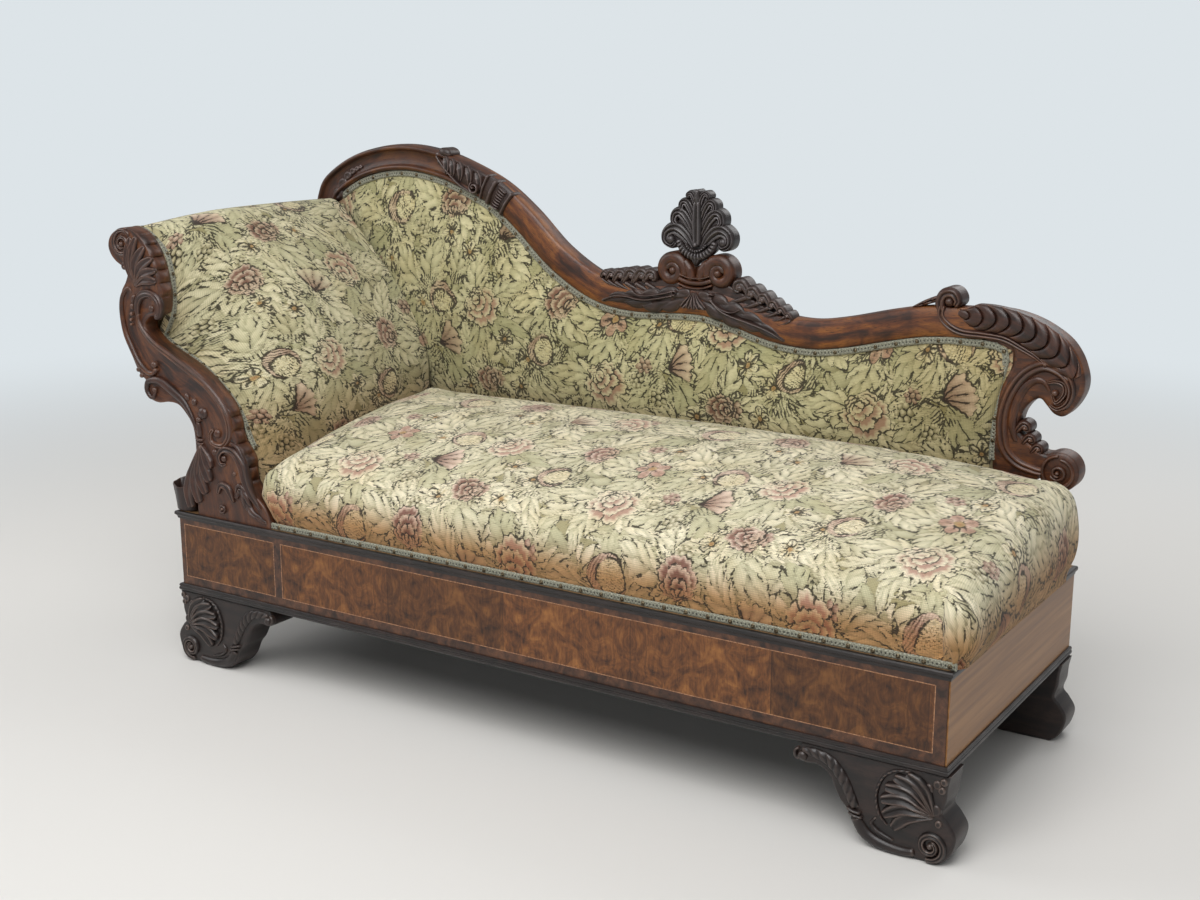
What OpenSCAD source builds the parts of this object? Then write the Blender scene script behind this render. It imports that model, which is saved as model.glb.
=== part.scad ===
// A recamier: a daybed with one scroll-over head end, a shaped and carved back that falls to a
// scroll at the foot, and a sprung seat on a veneered box base with four scroll bracket feet.
// X runs along the length with the head end at -X, the open front faces -Y, and Z is up.

/* [Base] */
// Length of the base over its mouldings
base_len = 1680; // [1560:10:1800]
// Depth of the base over its mouldings
base_depth = 635; // [600:5:680]
// Height from the floor to the underside of the base
foot_h = 153; // [130:1:180]
// Height of the base from its bottom bead to its top lip
base_h = 171; // [150:1:190]
// Thickness of the four rails of the base
rail_t = 28; // [22:1:34]
// How far the mouldings and the veneer's core step out from the rail
moulding_proud = 8.5; // [7:0.5:11]
// Height of the lip moulding at the top of the base
lip_h = 15; // [12:1:20]
// Height of the bead moulding at the bottom of the base
bead_h = 15; // [12:1:20]
// Thickness of the veneer
veneer_t = 2.5; // [1.5:0.1:4]
// Width of the crossbanding round the veneered field
crossband_w = 20; // [14:1:26]
// Width of the pale string inlay
string_w = 1.6; // [1:0.1:2.5]
// Length of the short veneer panel at the head end of the front
head_panel_len = 262; // [220:1:300]
// Number of veneer leaves in the long panel
leaves = 4; // [3:1:6]
// Width of each corner block inside the base
block_w = 62; // [50:1:75]

/* [Feet] */
// Length of a foot with its bracket wing
foot_len = 278; // [240:1:300]
// Thickness of a foot from front to back
foot_t = 62; // [50:1:72]
// How far the foot's bottom scroll stands outside the base
foot_out = 15; // [8:1:20]
// Depth of the carving that stands proud of the feet
carve_t = 5; // [3:0.5:8]
// Diameter of the screw that holds each foot
foot_screw_d = 9; // [7:0.5:12]
// Length of that screw
foot_screw_len = 104; // [90:1:120]

/* [Head end] */
// How far the head end's roll hangs out past the base
head_over = 153; // [130:1:175]
// Length of the head end's scrolled board along the base
head_reach = 263; // [240:1:280]
// Height of the scrolled board above the base
head_rise = 576; // [520:2:620]
// Thickness of the scrolled board
head_board_t = 36; // [30:1:42]
// Height of the fabric roll's top above the base
head_pad_rise = 598; // [560:2:630]
// Section of the cross rails in the head end
head_rail_w = 46; // [36:1:56]
// Thickness of the cross rails in the head end
head_rail_t = 22; // [18:1:28]

/* [Back] */
// Height of the crest's arch above the base
crest_rise = 722; // [660:2:760]
// Width of the crest rail
crest_w = 54; // [46:1:60]
// Thickness of the crest rail
crest_t = 43; // [36:1:48]
// Width of the bead along each edge of the crest rail
crest_bead_w = 9; // [6:1:12]
// How far that bead stands proud
crest_bead_t = 4; // [2:0.5:6]
// Thickness of the back pad at its edges
back_pad_t = 14; // [10:1:18]
// How far the back pad swells forward of its edges
back_crown = 36; // [24:1:44]
// Width of the uprights inside the back
stile_w = 48; // [38:1:58]
// Height of the bottom rail of the back
back_rail_h = 62; // [50:1:75]

/* [Carving] */
// Height of the centre ornament above the crest rail
finial_h = 198; // [170:1:215]
// Width of the palmette on top of the centre ornament
palmette_w = 172; // [150:1:190]
// Thickness of the palmette
palmette_t = 26; // [20:1:32]
// Width of the pair of scrolls under the palmette
scroll_pair_w = 205; // [180:1:225]
// Radius of each of those scrolls
scroll_r = 37; // [30:1:42]
// Radius of the knob at the bottom of the foot scroll
knob_r = 36; // [30:1:40]
// Number of gadroons over the foot scroll
gadroons = 7; // [5:1:9]

/* [Seat and covers] */
// Height of the seat's shoulder above the base at the front
seat_front_rise = 116; // [100:1:130]
// Height of the seat above the base where it meets the back
seat_back_rise = 205; // [180:1:220]
// How far the seat swells past the foot end of the base
seat_bulge = 8; // [4:1:10]
// Thickness of the hair pad under the seat's cover
hair_pad_t = 44; // [34:1:54]
// Thickness of the webbing and the hessian
web_t = 1.8; // [1.2:0.1:2.5]
// Width of a webbing strip
web_w = 50; // [40:1:60]
// Wire diameter of the springs
spring_wire_d = 4; // [3:0.5:5]
// Diameter of a spring at its ends
spring_d = 112; // [90:2:120]
// Number of turns in a spring
spring_turns = 4; // [3:1:5]
// Width of the braid along the edges of the covers
gimp_w = 13; // [10:1:16]
// Thickness of the braid
gimp_t = 2.2; // [1.5:0.1:3]
// Diameter of the nail heads in the braid
nail_d = 7; // [5:0.5:9]
// Distance between nail heads
nail_pitch = 42; // [34:1:60]
// Thickness of the cloth on the outside of the back and head end
cloth_t = 1.5; // [1:0.1:2.5]
// Thickness of the black cloth that closes the base underneath
dust_t = 1; // [0.8:0.1:1.5]
// Radius of the seat cushion's rounded shoulder
seat_round = 26; // [20:1:30]

/* [Hidden] */

// Overrun of a cut, play between pieces that only rest against each other, and play in a joint
over = 1;
clear = 0.3;
fit = 0.1;

// Base: outer faces, the rails' faces and levels
base_x0 = -(base_len + head_over + foot_out) / 2 + head_over;
base_x1 = base_x0 + base_len;
front_y = -base_depth / 2;
back_y = base_depth / 2;
core_x0 = base_x0 + moulding_proud;
core_x1 = base_x1 - moulding_proud;
core_y0 = front_y + moulding_proud;
base_z0 = foot_h;
base_z1 = foot_h + base_h;
rail_drop = 3 * web_t + 2 * clear + dust_t;
rail_z0 = base_z0 + rail_drop;
inner_x0 = core_x0 + rail_t;
inner_x1 = core_x1 - rail_t;
inner_y0 = core_y0 + rail_t;
inner_y1 = back_y - rail_t;
tenon_l = rail_t * 0.6;
tenon_t = rail_t * 0.4;
tenon_h = base_h * 0.5;
field_z0 = base_z0 + bead_h;
field_z1 = base_z1 - lip_h;

// Back: planes of the crest rail, the pad's edge and the outside cover
crest_y1 = back_y - cloth_t - 2 * clear - rail_t / 3;
crest_y0 = crest_y1 - crest_t;
pad_edge_y = crest_y0 + gimp_t;
pad_back_y = pad_edge_y + back_pad_t;
frame_y0 = pad_back_y + 2 * web_t + 2 * clear;

// Head end: planes of the scrolled board and its partner at the back
board_y0 = front_y + carve_t + 2 * over;
board_y1 = board_y0 + head_board_t;
head_y0 = board_y1 + clear;
head_y1 = pad_edge_y - back_crown - clear;

// Steps per span of a smooth curve
steps = 4;

// Point between b and c on a Catmull-Rom curve through a, b, c and d, t from 0 to 1
function spline(a, b, c, d, t) =
    0.5 * (2 * b + (c - a) * t + (2 * a - 5 * b + 4 * c - d) * t * t
        + (3 * b - a - 3 * c + d) * t * t * t);

// Smooth open curve through the points of p
function smooth(p, n) = let (last = len(p) - 1) concat(
    [for (i = [0:last - 1]) for (k = [0:n - 1])
        spline(p[max(i - 1, 0)], p[i], p[i + 1], p[min(i + 2, last)], k / n)],
    [p[last]]);

// Smooth closed curve through the points of p
function smooth_loop(p, n) = let (m = len(p))
    [for (i = [0:m - 1]) for (k = [0:n - 1])
        spline(p[(i + m - 1) % m], p[i], p[(i + 1) % m], p[(i + 2) % m], k / n)];

// Unit direction of the curve p at its point i
function along(p, i) = let (
    a = p[max(i - 1, 0)], b = p[min(i + 1, len(p) - 1)], d = [b[0] - a[0], b[1] - a[1]])
    d / norm(d);

// Point beside the curve p at its point i, off to the left of its direction
function beside(p, i, off) = let (d = along(p, i)) [p[i][0] - d[1] * off, p[i][1] + d[0] * off];

// Curve that runs beside p, off to the left
function offset_curve(p, off) = [for (i = [0:len(p) - 1]) beside(p, i, off)];

// Closed outline of a band between the offsets lo and hi of the curve p
function band(p, lo, hi) = concat(offset_curve(p, hi), reversed(offset_curve(p, lo)));

// Closed outline of a band whose width is each point's third value
function tapered_band(p) = concat(
    [for (i = [0:len(p) - 1]) beside(p, i, p[i][2] / 2)],
    reversed([for (i = [0:len(p) - 1]) beside(p, i, -p[i][2] / 2)]));

function reversed(p) = [for (i = [len(p) - 1:-1:0]) p[i]];
function part_of(p, a, b) = [for (i = [a:b]) p[i]];
function mix(a, b, t) = a * (1 - t) + b * t;
function ease(t) = let (c = max(0, min(1, t))) c * c * (3 - 2 * c);

// Lengths along a curve, and the point at distance s along it
function lengths(p, i = 0, s = 0, out = []) =
    i == len(p) - 1 ? concat(out, [s])
    : lengths(p, i + 1, s + norm([p[i + 1][0] - p[i][0], p[i + 1][1] - p[i][1]]), concat(out, [s]));
function at_length(p, ls, s) = [
    lookup(s, [for (i = [0:len(p) - 1]) [ls[i], p[i][0]]]),
    lookup(s, [for (i = [0:len(p) - 1]) [ls[i], p[i][1]]])];
function resampled(p, n) = let (ls = lengths(p), total = ls[len(p) - 1])
    [for (k = [0:n]) at_length(p, ls, total * k / n)];

// Outline of a pointed petal of length l and width w that grows along +Y from the origin
petal_points = 10;
function petal(l, w) = [for (i = [0:2 * petal_points - 1])
    let (a = 180 * i / petal_points)
    [w / 2 * sin(a) * (0.75 + 0.25 * cos(a)), l * (0.5 - 0.5 * cos(a))]];

// Stands an outline in the XZ plane up between the planes y0 and y1
module upright(y0, y1) translate([0, y1, 0]) rotate([90, 0, 0]) linear_extrude(y1 - y0) children();

// Runs an outline in the YZ plane from x0 to x1
module lengthwise(x0, x1) translate([x0, 0, 0]) rotate([90, 0, 90]) linear_extrude(x1 - x0) children();

module box(a, b) translate(a) cube(b - a);

// Closed solid between a face grid and a back grid of the same size, joined by loops round
// their border. Grids are lists of columns, and a face grid's i and j run right and up as seen
// from outside.
module padded(face, loops, back) {
    nx = len(face) - 1;
    ny = len(face[0]) - 1;
    n = 2 * (nx + ny);
    cells = (nx + 1) * (ny + 1);
    points = concat([for (c = face) each c], [for (c = back) each c], [for (r = loops) each r]);
    rim_ids = border_ids(nx, ny);
    loop_ids = concat([rim_ids],
        [for (k = [0:1:len(loops) - 1]) [for (i = [0:n - 1]) 2 * cells + k * n + i]],
        [[for (q = rim_ids) q + cells]]);
    faces = concat(
        [for (i = [0:nx - 1]) for (j = [0:ny - 1])
            let (a = i * (ny + 1) + j, b = a + ny + 1) each [[a, b + 1, b], [a, a + 1, b + 1]]],
        [for (i = [0:nx - 1]) for (j = [0:ny - 1])
            let (a = cells + i * (ny + 1) + j, b = a + ny + 1) each [[a, b, b + 1], [a, b + 1, a + 1]]],
        [for (k = [0:len(loop_ids) - 2]) for (i = [0:n - 1])
            let (u = loop_ids[k], v = loop_ids[k + 1], m = (i + 1) % n)
            each [[u[i], u[m], v[m]], [u[i], v[m], v[i]]]]);
    polyhedron(points, faces, convexity = 6);
}

// Ids and points of a grid's border, in order: the bottom row, the right, the top, the left
function border_ids(nx, ny) = concat(
    [for (i = [0:nx - 1]) i * (ny + 1)],
    [for (j = [0:ny - 1]) nx * (ny + 1) + j],
    [for (i = [nx:-1:1]) i * (ny + 1) + ny],
    [for (j = [ny:-1:1]) j]);
function border(grid) = let (flat = [for (c = grid) each c])
    [for (q = border_ids(len(grid) - 1, len(grid[0]) - 1)) flat[q]];

// Tube of round wire along the points p, whose ring i lies in the plane of out[i] and up
module wire(p, out, r, sides) {
    n = len(p);
    points = concat(
        [for (i = [0:n - 1]) for (k = [0:sides - 1])
            p[i] + r * (cos(360 * k / sides) * out[i] + sin(360 * k / sides) * [0, 0, 1])],
        [p[0], p[n - 1]]);
    faces = concat(
        [for (i = [0:n - 2]) for (k = [0:sides - 1])
            let (a = i * sides + k, b = i * sides + (k + 1) % sides)
            each [[a, b, b + sides], [a, b + sides, a + sides]]],
        [for (k = [0:sides - 1]) [n * sides, (k + 1) % sides, k]],
        [for (k = [0:sides - 1])
            [n * sides + 1, (n - 1) * sides + k, (n - 1) * sides + (k + 1) % sides]]);
    polyhedron(points, faces, convexity = 6);
}

// Colours
walnut = "#4a2c1c";
dark_walnut = "#2c1c16";
burr = "#6e3f1f";
pale_end = "#9a6a3a";
string_colour = "#c98a55";
beech = "#b08a5c";
steel = "#8d8f92";
jute = "#a68d63";
tapestry = "#b5ab82";
black_cloth = "#2b2a2a";
gimp_colour = "#9a9a80";
nail_colour = "#4b4538";

// Rails of the base. The end rails have tenons that enter the front and back rails.
module end_tenon_space(x0, play) {
    x = x0 + rail_t / 2;
    z = (rail_z0 + base_z1) / 2;
    for (y = [[inner_y0 - tenon_l, inner_y0 + over], [inner_y1 - over, inner_y1 + tenon_l]])
        box([x - tenon_t / 2 - play, y[0] - play, z - tenon_h / 2 - play],
            [x + tenon_t / 2 + play, y[1] + play, z + tenon_h / 2 + play]);
}

module long_rail(y0, y1) difference() {
    box([core_x0, y0, rail_z0], [core_x1, y1, base_z1]);
    end_tenon_space(core_x0, fit);
    end_tenon_space(inner_x1, fit);
}

module front_rail() color(beech) long_rail(core_y0, inner_y0);
module back_rail() color(beech) long_rail(inner_y1, back_y);

module end_rail(x0) color(beech) {
    box([x0, inner_y0, rail_z0], [x0 + rail_t, inner_y1, base_z1]);
    intersection() {
        end_tenon_space(x0, 0);
        box([x0, inner_y0 - tenon_l, rail_z0], [x0 + rail_t, inner_y1 + tenon_l, base_z1]);
    }
}

module head_end_rail() end_rail(core_x0);
module foot_end_rail() end_rail(inner_x1);

// Each foot screw stands in the middle of its corner block
screw_xy = [for (x = [inner_x0 + block_w / 2, inner_x1 - block_w / 2])
    for (y = [inner_y0 + block_w / 2 - rail_t / 2, inner_y1 - block_w / 2 + rail_t / 2]) [x, y]];
screw_z0 = base_z0 - foot_screw_len * 0.5;
screw_z1 = base_z0 + foot_screw_len * 0.5;

module screw_holes(play) for (p = screw_xy) translate([p[0], p[1], screw_z0 - play])
    cylinder(d = foot_screw_d + 2 * play, h = foot_screw_len + 2 * play, $fn = 32);

module foot_screws() color(steel) screw_holes(0);

module corner_blocks() color(beech) difference() {
    for (x = [inner_x0, inner_x1 - block_w]) for (y = [inner_y0, inner_y1 - block_w])
        box([x, y, base_z0], [x + block_w, y + block_w, base_z1 - base_h / 8]);
    screw_holes(fit);
}

// A rail under the middle of the seat that keeps the long rails apart
cross_x = (base_x0 + base_x1) / 2;
cross_h = base_h * 0.3;
module cross_rail() color(beech)
    box([cross_x - rail_t / 2, inner_y0, rail_z0], [cross_x + rail_t / 2, inner_y1, rail_z0 + cross_h]);

// Veneer of the front: a crossbanding frame with two windows, each edged with string inlay
veneer_y1 = core_y0;
veneer_y0 = core_y0 - veneer_t;
window_z0 = field_z0 + crossband_w * 0.85;
window_z1 = field_z1 - crossband_w * 0.55;
panel_gap = crossband_w * 0.9;
window_x = [
    [core_x0 + crossband_w * 0.6, core_x0 + head_panel_len],
    [core_x0 + head_panel_len + panel_gap, core_x1 - crossband_w]];

module panel_box(x0, x1, z0, z1) box([x0, veneer_y0, z0], [x1, veneer_y1, z1]);

module front_crossbanding() color(dark_walnut) difference() {
    panel_box(core_x0, core_x1, field_z0, field_z1);
    for (w = window_x)
        box([w[0], veneer_y0 - over, window_z0], [w[1], veneer_y1 + over, window_z1]);
}

module front_stringing() color(string_colour) for (w = window_x) difference() {
    panel_box(w[0], w[1], window_z0, window_z1);
    box([w[0] + string_w, veneer_y0 - over, window_z0 + string_w],
        [w[1] - string_w, veneer_y1 + over, window_z1 - string_w]);
}

module front_veneer_leaves() color(burr) {
    short = window_x[0];
    long = window_x[1];
    leaf_l = (long[1] - long[0] - 2 * string_w) / leaves;
    panel_box(short[0] + string_w, short[1] - string_w, window_z0 + string_w, window_z1 - string_w);
    for (i = [0:leaves - 1])
        panel_box(long[0] + string_w + i * leaf_l + (i > 0 ? fit : 0),
            long[0] + string_w + (i + 1) * leaf_l, window_z0 + string_w, window_z1 - string_w);
}

module end_veneer(x0) box([x0, core_y0, field_z0], [x0 + veneer_t, back_y, field_z1]);
module foot_end_veneer() color(pale_end) end_veneer(core_x1);
module head_end_veneer() color(walnut) end_veneer(core_x0 - veneer_t);

// Section of a moulding that stands proud of the rail: d is the distance from the rail's face
lip_shares = [[0, 0], [0.45, 0], [0.55, 0.3], [0.8, 0.5], [1, 0.55], [1, 0.85], [0.85, 1], [0, 1]];
bead_shares = [[0, 0], [0.7, 0], [0.93, 0.12], [1, 0.3], [0.93, 0.48], [0.78, 0.55], [0.9, 0.62],
    [0.95, 0.76], [0.85, 0.92], [0.6, 1], [0, 1]];
function section(shares, h) = [for (s = shares) [s[0] * moulding_proud, s[1] * h]];

// Mouldings run along the faces of the rails and are mitred at the front corners
module front_moulding(shares, h, z0) intersection() {
    translate([0, core_y0, z0]) lengthwise(base_x0, base_x1) mirror([1, 0]) polygon(section(shares, h));
    translate([0, 0, z0 - over]) linear_extrude(h + 2 * over) polygon([
        [base_x0 - over, front_y - over], [base_x1 + over, front_y - over],
        [core_x1 - over, core_y0 + over], [core_x0 + over, core_y0 + over]]);
}

module end_moulding(shares, h, z0) intersection() {
    translate([core_x1, back_y, z0]) rotate([90, 0, 0]) linear_extrude(base_depth)
        polygon(section(shares, h));
    translate([0, 0, z0 - over]) linear_extrude(h + 2 * over) polygon([
        [base_x1 + over, front_y - over], [base_x1 + over, back_y + over],
        [core_x1 - over, back_y + over], [core_x1 - over, core_y0 + over]]);
}

// The head end of the base mirrors the foot end
module other_end() translate([base_x0 + base_x1, 0, 0]) mirror([1, 0, 0]) children();

module front_lip() color(dark_walnut) front_moulding(lip_shares, lip_h, field_z1);
module foot_end_lip() color(dark_walnut) end_moulding(lip_shares, lip_h, field_z1);
module head_end_lip() color(dark_walnut) other_end() end_moulding(lip_shares, lip_h, field_z1);
module front_bead() color(dark_walnut) front_moulding(bead_shares, bead_h, base_z0);
module foot_end_bead() color(dark_walnut) end_moulding(bead_shares, bead_h, base_z0);
module head_end_bead() color(dark_walnut) other_end() end_moulding(bead_shares, bead_h, base_z0);

// Feet. The outline runs inward from the outside of the bottom scroll, up from the floor.
foot_outer_shares = [[0.045, 1], [0.06, 0.86], [0.065, 0.72], [0.085, 0.575], [0.045, 0.484],
    [0.0, 0.35], [0.012, 0.2], [0.045, 0.08], [0.1, 0]];
foot_inner_shares = [[0.43, 0], [0.53, 0.04], [0.608, 0.176], [0.655, 0.346], [0.705, 0.451],
    [0.741, 0.569], [0.777, 0.693], [0.853, 0.771], [0.935, 0.765], [0.995, 0.82], [0.975, 0.93],
    [0.95, 1]];
function foot_points(shares) = [for (s = shares) [s[0] * foot_len, s[1] * foot_h]];
foot_volute_r = foot_h * 0.19;
foot_volute = [foot_len * 0.125, foot_h * 0.235];
foot_shell = [foot_len * 0.17, foot_h * 0.52];
foot_curl_r = foot_h * 0.085;
foot_curl = [foot_len * 0.925, foot_h * 0.865];

// Band of carving from the bottom scroll up along the bracket wing
foot_band_shares = [[0.24, 0.12], [0.42, 0.14], [0.53, 0.24], [0.6, 0.42], [0.68, 0.66], [0.8, 0.86],
    [0.9, 0.86]];

module foot_body() {
    outline = concat(smooth(foot_points(foot_outer_shares), steps),
        smooth(foot_points(foot_inner_shares), steps));
    translate([0, foot_t, 0]) rotate([90, 0, 0]) linear_extrude(foot_t) polygon(outline);
}

module foot_carving() {
    shell_l = foot_h * 0.36;
    band_path = smooth(foot_points(foot_band_shares), steps);
    rotate([90, 0, 0]) {
        translate(foot_volute) cylinder(r = foot_volute_r, h = carve_t, $fn = 48);
        translate(foot_curl) cylinder(r = foot_curl_r, h = carve_t, $fn = 32);
        linear_extrude(carve_t * 0.7) polygon(band(band_path, -foot_h / 20, foot_h / 20));
        for (a = [-95:25:5]) translate(foot_shell) rotate(a) linear_extrude(carve_t * 0.8)
            polygon(petal(shell_l, shell_l / 2.6));
    }
}

module placed_foot(carved) translate([base_x0 - foot_out, front_y + carve_t, 0]) {
    foot_body();
    if (carved) foot_carving();
}

module mirrored_back() mirror([0, 1, 0]) children();

// A foot with the hole for its screw
module drilled() color(dark_walnut) difference() {
    children();
    screw_holes(fit);
}
module foot_front_left() drilled() placed_foot(true);
module foot_front_right() drilled() other_end() placed_foot(true);
module foot_back_left() drilled() mirrored_back() placed_foot(false);
module foot_back_right() drilled() mirrored_back() other_end() placed_foot(false);

// Webbing under the seat: crosswise and lengthwise strips, each over and under the others
web_lift = (web_t + clear) / 2;
web_z = rail_z0 - web_lift - web_t / 2;
cross_webs = 8;
cross_web_x0 = inner_x0 + block_w + spring_d / 2 + over;
cross_web_pitch = (inner_x1 - inner_x0 - 2 * (block_w + over) - spring_d) / (cross_webs - 1);
cross_web_x = [for (i = [0:cross_webs - 1]) cross_web_x0 + i * cross_web_pitch];
long_webs = 3;
long_web_y0 = inner_y0 + block_w + web_w / 2 + over;
long_web_pitch = (head_y1 - spring_d / 2 - 2 * over - long_web_y0) / (long_webs - 0.6);
long_web_y = [for (j = [0:long_webs - 1]) long_web_y0 + j * long_web_pitch];

// Centre line of a strip from a to b that is lifted or lowered at each of the places
function woven(a, b, places, first) = concat([[a, web_z + web_lift]],
    [for (k = [0:len(places) - 1]) for (e = [-0.7, 0.7])
        [places[k] + e * web_w, web_z + ((k + first) % 2 == 0 ? web_lift : -web_lift)]],
    [[b, web_z + web_lift]]);

module strip(a, b, places, first) polygon(band(woven(a, b, places, first), -web_t / 2, web_t / 2));
module seat_webbing() color(jute) {
    for (i = [0:cross_webs - 1]) lengthwise(cross_web_x[i] - web_w / 2, cross_web_x[i] + web_w / 2)
        strip(core_y0 + rail_t / 3, back_y - rail_t / 3, long_web_y, i);
    for (j = [0:long_webs - 1]) upright(long_web_y[j] - web_w / 2, long_web_y[j] + web_w / 2)
        strip(core_x0 + rail_t / 3, core_x1 - rail_t / 3, cross_web_x, j + 1);
}

// Springs stand where the strips cross, from the webbing up to the hessian, and are waisted
spring_rings = 7;
spring_z0 = rail_z0 + spring_wire_d / 2 + clear;
spring_z1 = base_z1 - spring_wire_d / 2 - clear;
spring_waist_share = 0.68;
function spring_radius(t) = (spring_d - spring_wire_d) / 2 * (1 - (1 - spring_waist_share) * sin(180 * t));
function spring_point(t) = let (a = 360 * spring_turns * t, r = spring_radius(t))
    [r * cos(a), r * sin(a), mix(spring_z0, spring_z1, t)];

module spring() {
    last = spring_rings * spring_turns;
    wire([for (i = [0:last]) spring_point(i / last)],
        [for (i = [0:last]) let (a = 360 * spring_turns * i / last) [cos(a), sin(a), 0]],
        spring_wire_d / 2, 4);
}

module seat_springs() color(steel)
    for (x = part_of(cross_web_x, 1, cross_webs - 1)) for (y = long_web_y) translate([x, y, 0]) spring();

// Hessian over the springs, tacked to the tops of the rails, and the hair pad on it
seat_x0 = base_x0 + head_reach * 0.912;
hessian_x0 = base_x0 + head_reach + over;
module seat_hessian() color(jute) difference() {
    box([hessian_x0, core_y0 + rail_t / 3, base_z1],
        [core_x1 - rail_t / 3, frame_y0 - clear, base_z1 + web_t]);
    box([post_x1 - post_w - clear, crest_y0 - clear, base_z1 - over],
        [post_x1 + clear, back_y, base_z1 + 2 * web_t]);
}

pad_round = hair_pad_t / 3;
hair_inset = rail_t * 0.9;
hair_z1 = base_z1 + web_t + hair_pad_t;
module seat_hair_pad() color(jute) lengthwise(hessian_x0 + hair_inset, core_x1 - hair_inset - seat_round)
    polygon([[core_y0 + hair_inset, base_z1 + web_t], [head_y1 - hair_inset, base_z1 + web_t],
        [head_y1 - hair_inset, hair_z1 - pad_round], [head_y1 - hair_inset - pad_round, hair_z1],
        [core_y0 + hair_inset + pad_round, hair_z1], [core_y0 + hair_inset, hair_z1 - pad_round]]);

module dust_cloth() color(black_cloth) difference() {
    z1 = rail_z0 - 2 * web_t - 2 * clear;
    box([inner_x0 - rail_t / 3, inner_y0 - rail_t / 3, z1 - dust_t],
        [inner_x1 + rail_t / 3, inner_y1 + rail_t / 3, z1]);
    for (x = [inner_x0 - rail_t / 2, inner_x1 - block_w - clear])
        for (y = [inner_y0 - rail_t / 2, inner_y1 - block_w - clear])
            box([x, y, base_z0 - over],
                [x + block_w + rail_t / 2 + clear, y + block_w + rail_t / 2 + clear, base_z1]);
}

// Seat cushion: a crowned top, sides that swell and draw in to the rail, and a hollow below
// that holds the hair pad
seat_x1 = base_x1 + seat_bulge;
seat_y0 = front_y + clear * 8;
seat_y1 = head_y1 - clear;
seat_columns = 24;
seat_rows = 10;

// Share of the way at even step t, with the steps closer together at the edges by the draw k
function edge_spaced(t, k) = t - k * sin(360 * t);
column_draw = 0.061;
row_draw = 0.083;
function seat_u(i) = edge_spaced(i / seat_columns, column_draw);
function seat_v(j) = edge_spaced(j / seat_rows, row_draw);

// Rise of the seat above the base, u along the length from the head, v from front to back
function seat_rise(u, v) = let (e = pow(max(0, (u - 0.78) / 0.22), 2), crown = sin(90 * pow(v, 0.8)))
    seat_front_rise * (1 - 0.1 * e)
        + (seat_back_rise - seat_front_rise) * crown * (1 - 0.72 * e) * (0.92 + 0.08 * sin(180 * u));

// The left edge steps round the foot of the scrolled board
board_foot_shares = [[0, 1.02], [0.03, 1.0], [0.075, 0.95], [0.13, 0.84], [0.2, 0.79]];
function seat_left(y, z) = let (
    board = base_x0 + head_reach * lookup((z - base_z1) / head_rise, board_foot_shares) + clear * 4)
    mix(seat_x0, max(seat_x0, board), ease((board_y1 + seat_round - y) / seat_round));

function seat_point(u, v, inset, z) = let (
    y = mix(seat_y0 + inset, seat_y1 - inset * 0.4, v),
    x0 = seat_left(y, z) + inset * 0.5, x1 = seat_x1 - inset,
    corner = seat_round * pow(abs(2 * v - 1), 6))
    [mix(x0, x1 - corner * pow(u, 8), u), y, z];

// Loops below the top: inset shares of the shoulder's rounding, and shares of the height
seat_side_shares = [[0.4, 0.93], [0.08, 0.8], [0, 0.55], [0.12, 0.32], [0.42, 0.125], [0.46, 0]];

function seat_grid(inset, z) = [for (i = [0:seat_columns]) [for (j = [0:seat_rows])
    let (u = seat_u(i), v = seat_v(j))
    seat_point(u, v, inset, z == undef ? base_z1 + seat_rise(u, v) : z)]];

function seat_loop(inset, share) = border([for (i = [0:seat_columns]) [for (j = [0:seat_rows])
    let (u = seat_u(i), v = seat_v(j), low = web_t + clear)
    seat_point(u, v, inset, base_z1 + mix(low, seat_rise(u, v), share))]]);

module seat_cushion() color(tapestry) {
    loops = [for (s = seat_side_shares) seat_loop(s[0] * seat_round, s[1])];
    hollow = hair_inset - clear * 6;
    under = border(seat_grid(hollow, base_z1 + web_t + clear));
    ceiling = border(seat_grid(hollow, hair_z1 + clear));
    padded(seat_grid(seat_round, undef), concat(loops, [under, ceiling]),
        seat_grid(hollow + over, hair_z1 + clear));
}

// Braid round the seat, standing on the rails
seat_gimp_y = seat_y0 + seat_round * 0.38 - gimp_t - clear;
seat_gimp_x = seat_x1 - seat_round * 0.38 + clear;
gimp_x0 = base_x0 + head_reach + clear;
module seat_gimp() color(gimp_colour) {
    box([gimp_x0, seat_gimp_y, base_z1], [seat_gimp_x + gimp_t, seat_gimp_y + gimp_t, base_z1 + gimp_w]);
    box([seat_gimp_x, seat_gimp_y, base_z1], [seat_gimp_x + gimp_t, seat_y1, base_z1 + gimp_w]);
}

// Head end. Shares run along X from the base's end, outward in overhangs and inward in
// reaches, and up Z in rises.
function head_x(s) = base_x0 + (s < 0 ? s * head_over : s * head_reach);
function head_point(s, rise) = [head_x(s[0]), base_z1 + s[1] * rise];
function head_curve(shares, rise, n) = smooth([for (s = shares) head_point(s, rise)], n);

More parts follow.
